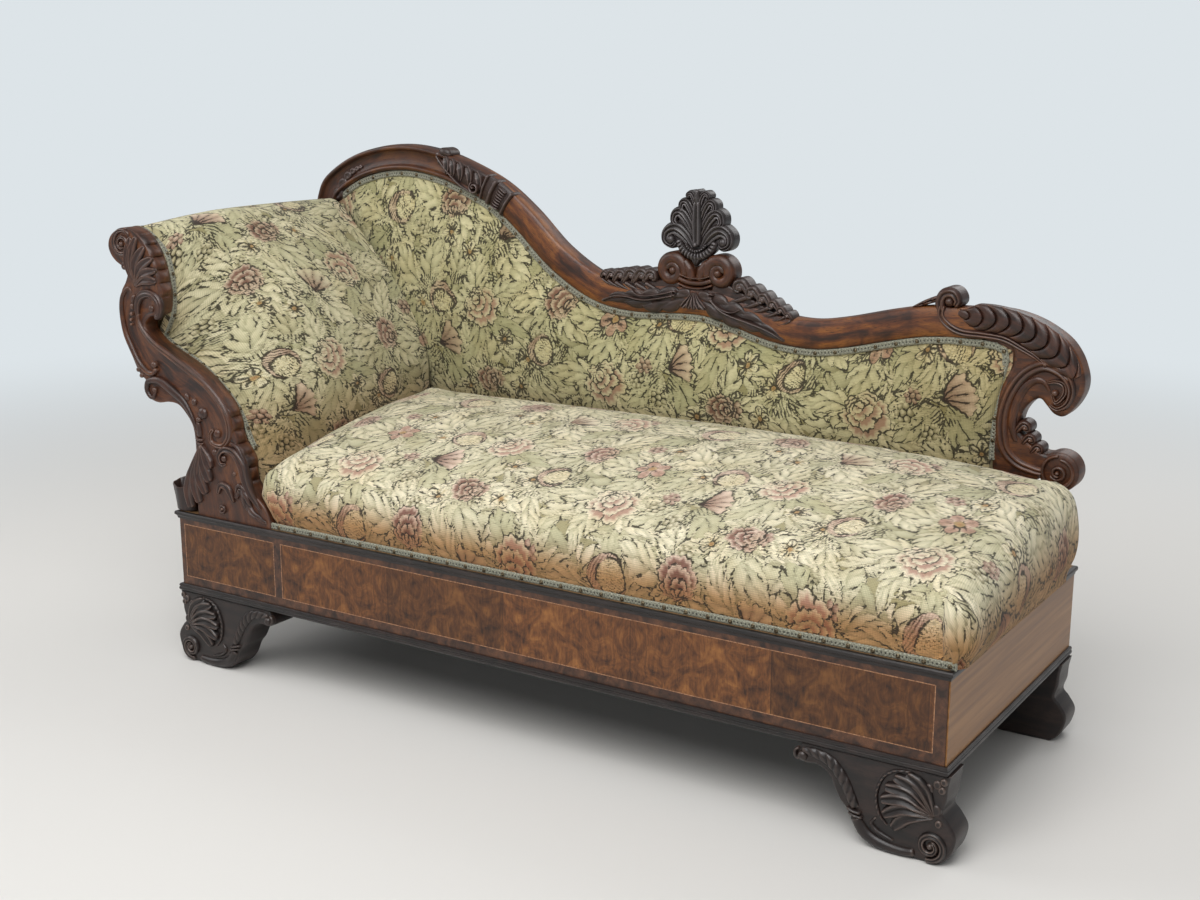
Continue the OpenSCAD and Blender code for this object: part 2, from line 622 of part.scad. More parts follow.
board_left_shares = [[-0.65, 1], [-0.78, 0.994], [-0.94, 0.968], [-1, 0.935], [-0.97, 0.904],
    [-0.87, 0.878], [-0.72, 0.858], [-0.66, 0.84], [-0.71, 0.807], [-0.8, 0.773], [-0.85, 0.724],
    [-0.85, 0.668], [-0.79, 0.605], [-0.68, 0.543], [-0.57, 0.489], [-0.45, 0.462], [-0.43, 0.445],
    [-0.46, 0.424], [-0.38, 0.397], [-0.22, 0.387], [-0.02, 0.395], [0.09, 0.39], [0.17, 0.361],
    [0.23, 0.324], [0.25, 0.277], [0.25, 0.212], [0.235, 0.138], [0.235, 0]];
board_right_shares = [[1, 0], [0.99, 0.03], [0.94, 0.075], [0.84, 0.115], [0.78, 0.165], [0.77, 0.229],
    [0.69, 0.279], [0.66, 0.308], [0.64, 0.355], [0.59, 0.407], [0.5, 0.449], [0.37, 0.498],
    [0.21, 0.538], [0.02, 0.574], [-0.24, 0.609], [-0.4, 0.655], [-0.3, 0.69], [-0.12, 0.708],
    [-0.07, 0.771], [-0.09, 0.81], [-0.12, 0.849], [-0.18, 0.895], [-0.29, 0.947], [-0.45, 0.984],
    [-0.65, 1]];
module board_outline() polygon(concat(head_curve(board_left_shares, head_rise, steps),
    part_of(head_curve(board_right_shares, head_rise, steps), 0, steps * (len(board_right_shares) - 1) - 1)));

module head_front_board() color(walnut) upright(board_y0, board_y1) board_outline();
module head_back_board() color(walnut) upright(crest_y0, crest_y1) difference() {
    board_outline();
    polygon(band(crest_path, -crest_w / 2, crest_w / 2));
}

// Pad on the head end. Its edge follows the scrolled board, and its middle runs straight from
// the roll to the seat.
pad_front_shares = [[-0.74, 0.875], [-0.85, 0.925], [-0.81, 0.972], [-0.66, 0.979], [-0.476, 0.958],
    [-0.25, 0.906], [-0.17, 0.844], [-0.15, 0.783], [-0.17, 0.71], [-0.26, 0.662], [-0.37, 0.605],
    [-0.152, 0.554], [0.099, 0.513], [0.238, 0.472], [0.376, 0.422], [0.507, 0.366], [0.6, 0.311],
    [0.68, 0.259], [0.74, 0.2], [0.78, 0.1], [0.8, 0.01]];
pad_middle_shares = [[-0.74, 0.842], [-0.87, 0.895], [-0.82, 0.95], [-0.6, 0.988], [-0.35, 0.999],
    [-0.116, 0.997], [0.043, 0.962], [0.252, 0.858], [0.461, 0.741], [0.617, 0.643], [0.77, 0.516],
    [0.869, 0.415], [0.908, 0.326], [0.91, 0.19], [0.91, 0.01]];
pad_inner_shares = [[-0.42, 0.862], [-0.3, 0.85], [-0.28, 0.8], [-0.29, 0.75], [-0.4, 0.69],
    [-0.5, 0.62], [-0.35, 0.55], [-0.1, 0.505], [0.1, 0.46], [0.28, 0.4], [0.42, 0.33], [0.52, 0.26],
    [0.58, 0.18], [0.6, 0.1], [0.6, 0.01]];
head_columns = 36;
pad_lift = web_t + 2 * clear;

// The roll rail is round, and the pad's inner face goes round it first
roll = [head_x(-0.56), base_z1 + 0.903 * head_rise];
roll_r = head_over * 0.15;
roll_wrap_r = roll_r + web_t + 2 * clear;
roll_wrap = [for (a = [200:-10:-10]) roll + roll_wrap_r * [cos(a), sin(a)]];
pad_front = resampled(head_curve(pad_front_shares, head_rise, steps), head_columns);
pad_middle = resampled(head_curve(pad_middle_shares, head_pad_rise, steps), head_columns);
pad_inner_path = concat(roll_wrap, smooth(concat([roll_wrap[len(roll_wrap) - 1]],
    [for (s = part_of(pad_inner_shares, 1, len(pad_inner_shares) - 1)) head_point(s, head_rise)]), steps));
pad_inner = resampled(offset_curve(pad_inner_path, pad_lift), head_columns);

// Distance of each row from the front board, and how much of the crown it has there
crown_reach = head_y1 - head_y0;
pad_rows = [[0, 0], [gimp_w + over, 0], [gimp_w * 2, 0.2], [crown_reach * 0.11, 0.48],
    [crown_reach * 0.18, 0.72], [crown_reach * 0.28, 0.9], [crown_reach * 0.42, 1],
    [crown_reach * 0.62, 1], [crown_reach * 0.82, 1], [crown_reach, 0.98]];

// The pad's end runs back to the frame round the roll, and stops at the back pad on the slope
function pad_end(x) = mix(head_y1, crest_y0 - clear, ease((head_x(-0.1) - x) / (head_over * 0.4)));
function pad_grid(a, b) = [for (i = [0:head_columns]) [for (r = pad_rows)
    let (p = mix(a[i], b[i], r[1]), y = head_y0 + r[0])
    [p[0], r[0] == crown_reach ? pad_end(p[0]) : y, p[1]]]];

module head_pad() color(tapestry) padded(pad_grid(pad_front, pad_middle), [], pad_grid(pad_inner, pad_inner));

// Webbing and rails inside the head end
module head_webbing() color(jute) {
    strips = 4;
    pitch = (crown_reach - web_w) / (strips - 1);
    for (i = [0:strips - 1]) upright(head_y0 + i * pitch, head_y0 + i * pitch + web_w)
        polygon(band(part_of(pad_inner_path, 12, len(pad_inner_path) - 1), -clear - web_t, -clear));
}

// Rail laid against the webbing at point i of the pad's inner face
module head_cross_rail(i) {
    p = beside(pad_inner_path, i, -2 * clear - web_t - head_rail_t / 2);
    d = along(pad_inner_path, i);
    upright(board_y1, crest_y0) translate(p) rotate(atan2(d[1], d[0]))
        square([head_rail_w, head_rail_t], center = true);
}
module head_roll_rail() color(beech) upright(board_y1, crest_y0) translate(roll) circle(r = roll_r, $fn = 64);
module head_cross_rails() color(beech) {
    head_cross_rail(len(roll_wrap) + 5 * steps);
    upright(board_y1, crest_y0) translate([head_x(0.6) - 2 * clear - web_t - head_rail_t, base_z1])
        square([head_rail_t, head_rail_w]);
}

// Cloth over the outside of the head end, just inside the boards' edges
cover_shares = [[-0.6, 0.858], [-0.66, 0.81], [-0.74, 0.765], [-0.8, 0.715], [-0.79, 0.665], [-0.73, 0.605],
    [-0.61, 0.545], [-0.5, 0.487], [-0.36, 0.435], [-0.2, 0.413], [0, 0.415], [0.11, 0.395],
    [0.19, 0.345], [0.23, 0.3], [0.237, 0.25], [0.233, 0.16], [0.225, 0.08], [0.225, 0]];
cover_path = head_curve(cover_shares, head_rise, 3);
module head_outside_cover() color(tapestry) upright(head_y0, crest_y0 - clear)
    polygon(band(cover_path, 0, cloth_t));

// Board that closes the top of the base outside the head end
ledge_t = rail_t * 0.3;
module head_ledge() color(walnut) box([core_x0, board_y1 + clear, base_z1],
    [head_x(0.225) - cloth_t - clear, back_y, base_z1 + ledge_t]);

gimp_last = head_columns - 8;
module head_gimp() color(gimp_colour) upright(head_y0, head_y0 + gimp_w)
    polygon(band(part_of(pad_front, 1, gimp_last), clear, clear + gimp_t));

// Carving on the front of the scrolled board
module disc(p, r, y0, y1) upright(y0, y1) translate(p) circle(r = r, $fn = 64);
module ring(p, r, w, y0, y1) upright(y0, y1) translate(p) difference() {
    circle(r = r, $fn = 64);
    circle(r = r - w, $fn = 64);
}
relief_y0 = board_y0 - carve_t;
shell_eye = [head_x(-0.76), base_z1 + 0.932 * head_rise];
shell_r = head_over * 0.215;
shell_lobe = head_over * 0.42;
shell_root = [head_x(-0.5), base_z1 + 0.86 * head_rise];
module arm_shell_leaf() color(dark_walnut) {
    ring(shell_eye, shell_r, shell_r * 0.34, relief_y0, board_y0);
    disc(shell_eye, shell_r * 0.4, relief_y0 - over, board_y0);
    for (k = [0:5]) upright(board_y0 - carve_t * (0.6 + 0.06 * k), board_y0) translate(shell_root)
        rotate(mix(40, -75, k / 5)) polygon(petal(shell_lobe * mix(1, 0.86, k / 5), shell_lobe * 0.34));
}
inner_eye = [head_x(-0.3), base_z1 + 0.752 * head_rise];
inner_r = head_over * 0.155;
module arm_inner_scroll() color(dark_walnut) {
    ring(inner_eye, inner_r, inner_r * 0.3, relief_y0, board_y0);
    disc(inner_eye, inner_r * 0.42, relief_y0 - over, board_y0);
    upright(relief_y0, board_y0) polygon(band(head_curve([[-0.52, 0.79], [-0.55, 0.73], [-0.58, 0.66],
        [-0.5, 0.61], [-0.3, 0.57], [0, 0.53]], head_rise, steps), -inner_r / 5, inner_r / 5));
}
lower_eye = [head_x(-0.27), base_z1 + 0.427 * head_rise];
lower_r = head_over * 0.145;
module arm_lower_scroll() color(dark_walnut) {
    ring(lower_eye, lower_r, lower_r * 0.34, relief_y0, board_y0);
    disc(lower_eye, lower_r * 0.4, relief_y0 - over, board_y0);
    upright(relief_y0, board_y0) polygon(band(head_curve([[-0.1, 0.44], [0.1, 0.43], [0.26, 0.38],
        [0.36, 0.31], [0.36, 0.24]], head_rise, steps), -lower_r / 4, lower_r / 4));
    for (k = [0:2]) upright(board_y0 - carve_t * 0.7, board_y0)
        translate(head_point([0.4 + 0.05 * k, 0.26 - 0.05 * k], head_rise)) rotate(150 + 12 * k)
            polygon(petal(lower_r * 1.9, lower_r * 0.9));
}
cup_r = (head_x(0.235) - head_x(-0.1)) / 2;
cup_eye = [head_x(0.235) - cup_r, base_z1 + cup_r];
module arm_base_cup() color(dark_walnut) upright(board_y0, board_y1) difference() {
    translate(cup_eye) circle(r = cup_r, $fn = 96);
    translate(cup_eye) circle(r = cup_r * 0.6, $fn = 64);
    translate([head_x(-1), base_z1 - cup_r]) square([head_over * 3, cup_r]);
    board_outline();
}
rosette_shares = [[0.53, 0.045], [0.62, 0.15], [0.86, 0.045]];
module arm_rosettes() color(dark_walnut) for (s = rosette_shares) {
    p = head_point(s, head_rise);
    translate([p[0], board_y0, p[1]]) rotate([90, 0, 0])
        cylinder(r1 = cup_r / 3, r2 = cup_r / 6, h = carve_t, $fn = 48);
}

// Crest rail: its centre line runs from the head end's roll over the arch and down to the foot
crest_shares = [[-0.043, 0.856], [-0.032, 0.901], [0.006, 0.957], [0.051, 0.99], [0.1, 1.0],
    [0.147, 0.985], [0.187, 0.957], [0.239, 0.903], [0.284, 0.826], [0.333, 0.721], [0.389, 0.644],
    [0.441, 0.619], [0.5, 0.624], [0.548, 0.624], [0.593, 0.599], [0.637, 0.57], [0.684, 0.56],
    [0.727, 0.574], [0.788, 0.609], [0.831, 0.627], [0.888, 0.633]];
crest_path = smooth([for (s = crest_shares)
    [base_x0 + s[0] * base_len, base_z1 + s[1] * (crest_rise - crest_w / 2)]], steps);
last_crest = len(crest_path) - 1;
bead_end = 6 * steps;
swell_start = 7 * steps;

module crest_rail() color(walnut) {
    upright(crest_y0, crest_y1) polygon(band(crest_path, -crest_w / 2, crest_w / 2));
    arch = part_of(crest_path, 0, bead_end);
    for (side = [-1, 1]) upright(crest_y0 - crest_bead_t, crest_y0)
        polygon(band(arch, side * crest_w / 2, side * (crest_w / 2 - crest_bead_w)));
    upright(crest_y0 - crest_bead_t, crest_y0)
        polygon(band(part_of(crest_path, swell_start, last_crest), -crest_w * 0.32, crest_w * 0.32));
}

// Frame of the back
scroll_w = base_len * 0.112;
scroll_h = crest_rise * 0.65;
post_h = crest_rise * 0.235;
post_w = crest_w * 0.82;
function scroll_point(s) = [base_x1 - s[0] * scroll_w, base_z1 + s[1] * scroll_h];
post_x1 = scroll_point([0.56, 0])[0];
module back_foot_post() color(walnut) upright(crest_y0, crest_y1)
    translate([post_x1 - post_w, base_z1]) square([post_w, post_h]);

module back_bottom_rail() color(beech) upright(frame_y0, crest_y1) difference() {
    translate([base_x0, base_z1]) square([post_x1 - post_w - base_x0, back_rail_h]);
    board_outline();
    translate([base_x0, base_z1 - over]) square([head_reach * 0.3, back_rail_h + 2 * over]);
}

module under_crest(gap) polygon(concat(offset_curve(crest_path, -crest_w / 2 - gap),
    [[crest_path[last_crest][0], base_z1], [crest_path[0][0], base_z1]]));

stile_shares = [0.2, 0.42, 0.66];
module back_stiles() color(beech) upright(frame_y0, crest_y1) intersection() {
    for (s = stile_shares) translate([base_x0 + s * base_len, base_z1 + back_rail_h])
        square([stile_w, crest_rise]);
    under_crest(0);
    translate([head_x(1), base_z1]) square([base_len, crest_rise]);
}

// Opening of the back between the crest, the head end's board and the foot scroll
outside_shares = [[-1, 0], [0.7, 0.28], [0.1, 0.57], [-0.2, 0.9], [-1, 1]];
module back_field(gap) difference() {
    intersection() {
        under_crest(gap);
        translate([head_x(-1), base_z1]) square([post_x1 - post_w - gap - head_x(-1), crest_rise]);
    }
    board_outline();
    translate([head_x(-1), base_z1 - over]) square([head_x(0.45) - head_x(-1), head_rise * 0.4]);
    polygon([for (s = outside_shares) head_point(s, head_rise)]);
}

upright_webs = 7;
level_webs = 3;
module back_webbing() color(jute) {
    first_x = head_x(1) + web_w / 2;
    x_pitch = (post_x1 - post_w - web_w * 2 - first_x) / (upright_webs - 1);
    z_pitch = crest_rise * 0.5 / (level_webs + 1);
    upright(frame_y0 - web_t, frame_y0) intersection() {
        for (i = [0:upright_webs - 1]) translate([first_x + i * x_pitch, base_z1 + back_rail_h / 3])
            square([web_w, crest_rise]);
        back_field(clear);
    }
    upright(frame_y0 - 2 * web_t - clear, frame_y0 - web_t - clear) intersection() {
        for (i = [1:level_webs]) translate([base_x0, base_z1 + back_rail_h / 2 + i * z_pitch])
            square([base_len, web_w]);
        back_field(clear);
    }
}

// Back pad: columns lean from the bottom line to the crest, and the face swells forward
pad_columns = 40;
pad_levels = [0, 0.1, 0.22, 0.36, 0.5, 0.64, 0.78, 0.9, 1];
pad_z0 = base_z1 + back_rail_h + web_w * 0.9;
pad_left_low = [head_x(0.91), pad_z0];
pad_left_high = [head_x(-0.14), base_z1 + 0.947 * head_rise];
pad_right_low = [post_x1 - post_w - clear * 10, pad_z0];
pad_right_high = scroll_point([0.67, 0.79]) - [clear * 9, 0];
pad_top_path = concat([pad_left_high],
    offset_curve(part_of(crest_path, 1, last_crest), -crest_w / 2 - 5 * clear),
    [scroll_point([0.8, 0.86]) - [0, clear * 9], pad_right_high]);
pad_top = resampled(pad_top_path, pad_columns);
pad_bow = scroll_w * 0.1;

function back_point(i, t) = let (u = i / pad_columns, low = mix(pad_left_low, pad_right_low, u))
    mix(low, pad_top[i], t) - [pad_bow * sin(180 * t) * pow(u, 10), 0];

// Shares of a column's length. The last stretch is flat, and as wide as the braid that lies on it.
function back_levels(i) = let (low = mix(pad_left_low, pad_right_low, i / pad_columns),
    column = pad_top[i] - low, edge = along(pad_top, i), slant = abs(cross(column / norm(column), edge)),
    flat = (gimp_w + 12 * clear) / norm(column) / max(slant, 0.35))
    concat([for (t = pad_levels) t * (1 - flat)], [1]);
function crown_share(i, k) = let (n = len(pad_levels), u = i / pad_columns, t = min(1, k / (n - 1)))
    (1 - pow(abs(2 * t - 1), 3)) * (1 - pow(abs(2 * u - 1), 12));

module back_pad() color(tapestry) {
    face = [for (i = [0:pad_columns]) let (ts = back_levels(i)) [for (k = [0:len(ts) - 1])
        let (p = back_point(i, ts[k])) [p[0], pad_edge_y - back_crown * crown_share(i, k), p[1]]]];
    back = [for (i = [0:pad_columns]) let (ts = back_levels(i)) [for (k = [0:len(ts) - 1])
        let (p = back_point(i, ts[k])) [p[0], pad_back_y, p[1]]]];
    padded(face, [], back);
}

// Cloth over the outside of the back
module back_outside_cover() color(tapestry) upright(crest_y1, crest_y1 + cloth_t) polygon(concat(
    part_of(crest_path, 1, last_crest), [scroll_point([0.7, 0.85]), scroll_point([0.72, 0.5]),
    [post_x1 - post_w / 2, base_z1 + over], [head_x(0.4), base_z1 + over]],
    reversed(offset_curve(cover_path, gimp_w))));

gimp_top = offset_curve(part_of(crest_path, 4, last_crest - 1), -crest_w / 2);
gimp_y1 = crest_y0 + gimp_t - clear;
module back_gimp() color(gimp_colour) upright(gimp_y1 - gimp_t, gimp_y1) difference() {
    polygon(band(gimp_top, -gimp_w, -clear));
    board_outline();
}

// Nail heads along every braid
module nail() cylinder(d1 = nail_d, d2 = nail_d / 2, h = nail_d / 4, $fn = 24);
module nails_between(a, b) {
    n = floor(norm(b - a) / nail_pitch);
    for (k = [0:n]) translate(mix(a, b, (k + 0.5) / (n + 1))) children();
}
module gimp_nails() color(nail_colour) {
    z = base_z1 + gimp_w / 2;
    nails_between([gimp_x0, seat_gimp_y, z], [seat_gimp_x, seat_gimp_y, z])
        rotate([90, 0, 0]) nail();
    nails_between([seat_gimp_x + gimp_t, seat_gimp_y, z], [seat_gimp_x + gimp_t, seat_y1, z])
        rotate([0, 90, 0]) nail();
    row = offset_curve(gimp_top, -gimp_w / 2);
    count = floor(lengths(row)[len(row) - 1] / nail_pitch);
    for (p = part_of(resampled(row, count), 1, count - 1))
        translate([p[0], gimp_y1 - gimp_t, p[1]]) rotate([90, 0, 0]) nail();
    head_row = offset_curve(part_of(pad_front, 1, gimp_last), 4 * clear + gimp_t);
    head_count = floor(lengths(head_row)[len(head_row) - 1] / nail_pitch);
    head_points = resampled(head_row, head_count);
    for (i = [1:head_count - 1]) let (d = along(head_points, i))
        translate([head_points[i][0], head_y0 + gimp_w / 2, head_points[i][1]])
            rotate([0, -atan2(d[1], d[0]), 0]) nail();
}

// Carving applied to the crest, whose relief starts at the face of its beads
leaf_y1 = crest_y0 - crest_bead_t;
cap_first = 5 * steps + 1;
cap_last = 6 * steps + 3;
collar_at = 6 * steps + 4;

// Round knob that sits on the crest's outer edge at point i of its centre line
module seated_knob(i, r) upright(crest_y0 + carve_t, crest_y1 - carve_t) difference() {
    translate(beside(crest_path, i, crest_w / 2 + r * 0.7)) circle(r = r, $fn = 48);
    polygon(band(crest_path, -crest_w / 2, crest_w / 2));
}

module crest_leaf_cap() color(dark_walnut) {
    path = part_of(crest_path, cap_first, cap_last);
    last = len(path) - 1;
    upright(leaf_y1 - carve_t, leaf_y1) polygon(tapered_band(
        [for (i = [0:last]) [path[i][0], path[i][1], crest_w * mix(0.55, 0.95, i / last)]]));
    seated_knob(cap_first, crest_bead_w * 1.2);
}
module crest_collar() color(dark_walnut) for (k = [0:2]) {
    p = crest_path[collar_at + k];
    d = along(crest_path, collar_at + k);
    upright(leaf_y1 - carve_t, leaf_y1) translate(p) rotate(atan2(d[1], d[0]))
        square([crest_bead_w, crest_w * 1.04], center = true);
}

// Centre ornament: two scrolls on the crest, and a palmette of paired petals over them
finial_x = base_x0 + base_len * 0.5345;
finial_z0 = base_z1 + 0.628 * (crest_rise - crest_w / 2) + crest_w / 2;
scroll_z = finial_z0 + scroll_r;
scroll_t = palmette_t * 1.3;
palmette_y0 = (crest_y0 + crest_y1 - palmette_t) / 2 - carve_t;
scroll_dx = scroll_pair_w / 2 - scroll_r;
module scroll_block() {
    for (side = [-1, 1]) translate([finial_x + side * scroll_dx, scroll_z]) circle(r = scroll_r, $fn = 96);
    translate([finial_x - scroll_dx, scroll_z + scroll_r * 0.25]) square([2 * scroll_dx, scroll_r * 0.75]);
    translate([finial_x - scroll_dx * 0.8, scroll_z - scroll_r * 1.5])
        square([1.6 * scroll_dx, scroll_r * 1.9]);
}
module finial_scrolls() color(dark_walnut) {
    upright(palmette_y0 - carve_t, palmette_y0 - carve_t + scroll_t) difference() {
        scroll_block();
        polygon(band(crest_path, -crest_w / 2, crest_w / 2));
        translate([finial_x - scroll_pair_w, base_z1])
            square([2 * scroll_pair_w, finial_z0 - crest_w / 2 - base_z1]);
    }
    for (side = [-1, 1]) {
        eye = [finial_x + side * scroll_dx, scroll_z];
        ring(eye, scroll_r, scroll_r * 0.25, palmette_y0 - 2 * carve_t, palmette_y0 - carve_t);
        disc(eye, scroll_r * 0.3, palmette_y0 - 2 * carve_t, palmette_y0 - carve_t);
    }
}

// Each tier: height of the petals' root, their length and width, and how far they lean
tier_shares = [[0, 0.66, 0.36, 66], [0.1, 0.6, 0.3, 48], [0.24, 0.52, 0.26, 33], [0.36, 0.5, 0.24, 15]];
palmette_z0 = scroll_z + scroll_r;
palmette_h = finial_z0 + finial_h - palmette_z0;
module finial_palmette() color(dark_walnut) {
    upright(palmette_y0, palmette_y0 + palmette_t) translate([finial_x, palmette_z0]) {
        translate([-palmette_w * 0.14, 0]) square([palmette_w * 0.28, palmette_h * 0.3]);
        for (t = tier_shares) for (side = [-1, 1])
            translate([side * palmette_w * 0.03, (t[0] + 0.08) * palmette_h]) rotate(-side * t[3])
                polygon(petal(t[1] * palmette_w * 0.82, t[2] * palmette_w * 0.8));
        translate([0, palmette_h * 0.4]) polygon(petal(palmette_h * 0.6, palmette_w * 0.22));
    }
    upright(palmette_y0 - carve_t, palmette_y0) translate([finial_x, palmette_z0 + over])
        polygon(petal(palmette_h * 0.7, palmette_w * 0.16));
}

// Leaves that lie along the crest rail on each side of the scrolls, with lobes above it
module crest_leaf(side) {
    start = side < 0 ? 10 * steps - 3 : 14 * steps - 1;
    count = 9;
    path = part_of(crest_path, start, start + count);
    upright(leaf_y1 - carve_t, leaf_y1)
        polygon(tapered_band([for (k = [0:count]) let (t = side < 0 ? k / count : 1 - k / count)
            [path[k][0], path[k][1], crest_w * mix(0.3, 0.95, t)]]));
    upright(crest_y0 + carve_t, crest_y1 - carve_t) difference() {
        for (k = [1:2:count]) translate(beside(path, k, crest_w * 0.42)) circle(r = crest_w * 0.24, $fn = 48);
        polygon(band(crest_path, -crest_w / 2, crest_w / 2));
    }
}
module crest_leaf_left() color(dark_walnut) crest_leaf(-1);
module crest_leaf_right() color(dark_walnut) crest_leaf(1);

// Foot scroll: the crest's end curls over into a thick volute and a C that ends in a knob
scroll_outer_shares = [[1, 0.998], [0.79, 0.998], [0.6, 0.985], [0.4, 0.957], [0.19, 0.906], [0.07, 0.849],
    [0.005, 0.789], [-0.016, 0.743], [0.005, 0.696], [0.074, 0.645], [0.165, 0.611], [0.26, 0.617],
    [0.34, 0.649], [0.4, 0.67], [0.485, 0.651], [0.56, 0.609], [0.59, 0.557], [0.57, 0.534],
    [0.45, 0.49], [0.32, 0.46], [0.2, 0.47]];
scroll_inner_shares = [[0.42, 0.34], [0.56, 0.355]];
scroll_limb_shares = [[0.787, 0.394], [0.82, 0.466], [0.824, 0.564], [0.782, 0.645], [0.697, 0.715],
    [0.62, 0.79], [0.66, 0.85], [0.8, 0.876], [1, 0.88]];
knob = scroll_point([0.17, 0.394]);
module scroll_outline() {
    outer = smooth([for (s = scroll_outer_shares) scroll_point(s)], steps);
    limb = smooth([for (s = scroll_limb_shares) scroll_point(s)], steps);
    polygon(concat(outer, [scroll_point([0.2, 0.4])], [for (s = scroll_inner_shares) scroll_point(s)],
        [[post_x1, base_z1 + post_h], [post_x1 - post_w, base_z1 + post_h]], limb));
    translate(knob) circle(r = knob_r, $fn = 96);
}
module foot_scroll() color(walnut) {
    upright(crest_y0, crest_y1) difference() {
        scroll_outline();
        polygon(band(crest_path, -crest_w / 2, crest_w / 2));
    }
    ring(knob, knob_r, knob_r * 0.28, crest_y0 - carve_t, crest_y0);
    disc(knob, knob_r * 0.4, crest_y0 - carve_t, crest_y0);
}

gadroon_path = smooth([for (s = [[0.8, 0.93], [0.55, 0.925], [0.33, 0.875], [0.17, 0.8], [0.13, 0.73],
    [0.2, 0.665]]) scroll_point(s)], steps);
module foot_scroll_gadroons() color(dark_walnut) {
    spots = resampled(gadroon_path, gadroons - 1);
    for (i = [0:gadroons - 1]) let (d = along(spots, i))
        upright(crest_y0 - carve_t * (0.8 + 0.04 * i), crest_y0)
            translate(spots[i]) rotate(atan2(d[1], d[0]) - 55) translate([0, -scroll_w * 0.13])
                polygon(petal(scroll_w * 0.26, scroll_w * 0.17));
    seated_knob(last_crest - 4, crest_bead_w * 1.5);
}

front_rail();
back_rail();
head_end_rail();
foot_end_rail();
corner_blocks();
cross_rail();
front_crossbanding();
front_veneer_leaves();
front_stringing();
foot_end_veneer();
head_end_veneer();
front_lip();
foot_end_lip();
head_end_lip();
front_bead();
foot_end_bead();
head_end_bead();
foot_front_right();
foot_front_left();
foot_back_right();
foot_back_left();
foot_screws();
seat_webbing();
seat_springs();
seat_hessian();
seat_hair_pad();
seat_cushion();
seat_gimp();
dust_cloth();
head_front_board();
head_back_board();
head_roll_rail();
head_cross_rails();
head_ledge();
head_webbing();
head_pad();
head_outside_cover();
head_gimp();
arm_shell_leaf();
arm_inner_scroll();
arm_lower_scroll();
arm_base_cup();
arm_rosettes();
crest_rail();
back_foot_post();
back_bottom_rail();
back_stiles();
back_webbing();
back_pad();
back_outside_cover();
back_gimp();
crest_leaf_cap();
crest_collar();
finial_palmette();
finial_scrolls();
crest_leaf_left();
crest_leaf_right();
foot_scroll();
foot_scroll_gadroons();
gimp_nails();
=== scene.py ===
# %% [markdown]
# # A recamier: carved walnut, burr veneer and tapestry
#
# A recamier is a daybed with one high scrolled end and a back that falls away to the foot. The
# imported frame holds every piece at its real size. This lesson gives each one its real surface:
# the carving, the veneers, the braid, and a woven floral tapestry over soft padding.

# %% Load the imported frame
import math

import bpy
import numpy as np
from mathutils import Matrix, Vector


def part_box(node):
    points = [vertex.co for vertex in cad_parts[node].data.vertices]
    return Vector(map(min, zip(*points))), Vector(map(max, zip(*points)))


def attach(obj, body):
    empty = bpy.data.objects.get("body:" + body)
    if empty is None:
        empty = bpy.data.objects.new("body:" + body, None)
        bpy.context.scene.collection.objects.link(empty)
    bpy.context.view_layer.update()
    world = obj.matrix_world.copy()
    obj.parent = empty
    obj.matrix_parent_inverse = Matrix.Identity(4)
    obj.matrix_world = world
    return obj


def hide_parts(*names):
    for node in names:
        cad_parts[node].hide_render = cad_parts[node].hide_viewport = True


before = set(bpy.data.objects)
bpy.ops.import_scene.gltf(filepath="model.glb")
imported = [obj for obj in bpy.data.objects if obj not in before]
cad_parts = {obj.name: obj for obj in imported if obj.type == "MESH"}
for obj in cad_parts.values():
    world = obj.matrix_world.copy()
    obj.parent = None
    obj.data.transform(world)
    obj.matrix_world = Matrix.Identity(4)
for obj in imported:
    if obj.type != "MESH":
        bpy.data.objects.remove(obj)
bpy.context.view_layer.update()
print("nodes:", len(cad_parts))

# %% [markdown]
# ## Camera
#
# The camera stands where the photographer stood. Its place and turn came from the straight edges
# of the base. It comes first, so that each piece can be judged from the right side.

# %% Place the camera
CAMERA_PLACE = (1.691, -2.522, 1.224)
TURN_LEFT = 0.5715
TILT_DOWN = 0.2375
SENSOR_MM = 36
FOCAL_PIXELS = 1603.3
PHOTO_WIDTH = 1200


def placed(name, data):
    """A new object in the scene that shows the data."""
    obj = bpy.data.objects.new(name, data)
    bpy.context.scene.collection.objects.link(obj)
    return obj


camera_data = bpy.data.cameras.new("photo_camera")
camera_data.sensor_width = SENSOR_MM
camera_data.lens = SENSOR_MM * FOCAL_PIXELS / PHOTO_WIDTH
camera = placed("photo_camera", camera_data)
camera.location = CAMERA_PLACE
camera.rotation_euler = (math.pi / 2 - TILT_DOWN, 0, TURN_LEFT)
bpy.context.scene.camera = camera
print("lens:", round(camera_data.lens, 1), "mm")

# %% [markdown]
# ## Sizes
#
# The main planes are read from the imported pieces, so the looks follow the construction. The shares
# that shape the crest and the scrolled board are the same as those of the solids.

# %% Read the main planes
MM = 0.001
lip_low, lip_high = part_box("front_lip")
BASE_X0, BASE_X1, BASE_TOP = lip_low.x, lip_high.x, lip_high.z
post_low, post_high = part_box("back_foot_post")
CREST_Y0, CREST_Y1 = post_low.y, post_high.y
board_low, board_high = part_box("head_front_board")
BOARD_Y0, BOARD_Y1 = board_low.y, board_high.y
BASE_LEN = BASE_X1 - BASE_X0
HEAD_OVER = 153 * MM
HEAD_REACH = 263 * MM
HEAD_RISE = 576 * MM
PAD_RISE = 598 * MM
CREST_RISE = 722 * MM
CREST_W = 54 * MM
SCROLL_W = BASE_LEN * 0.112
SCROLL_H = CREST_RISE * 0.65
PLAY = 0.3 * MM
GIMP_W = 13 * MM
GIMP_T = 2.2 * MM
print("base:", round(BASE_X0, 3), round(BASE_X1, 3), "top", round(BASE_TOP, 3))

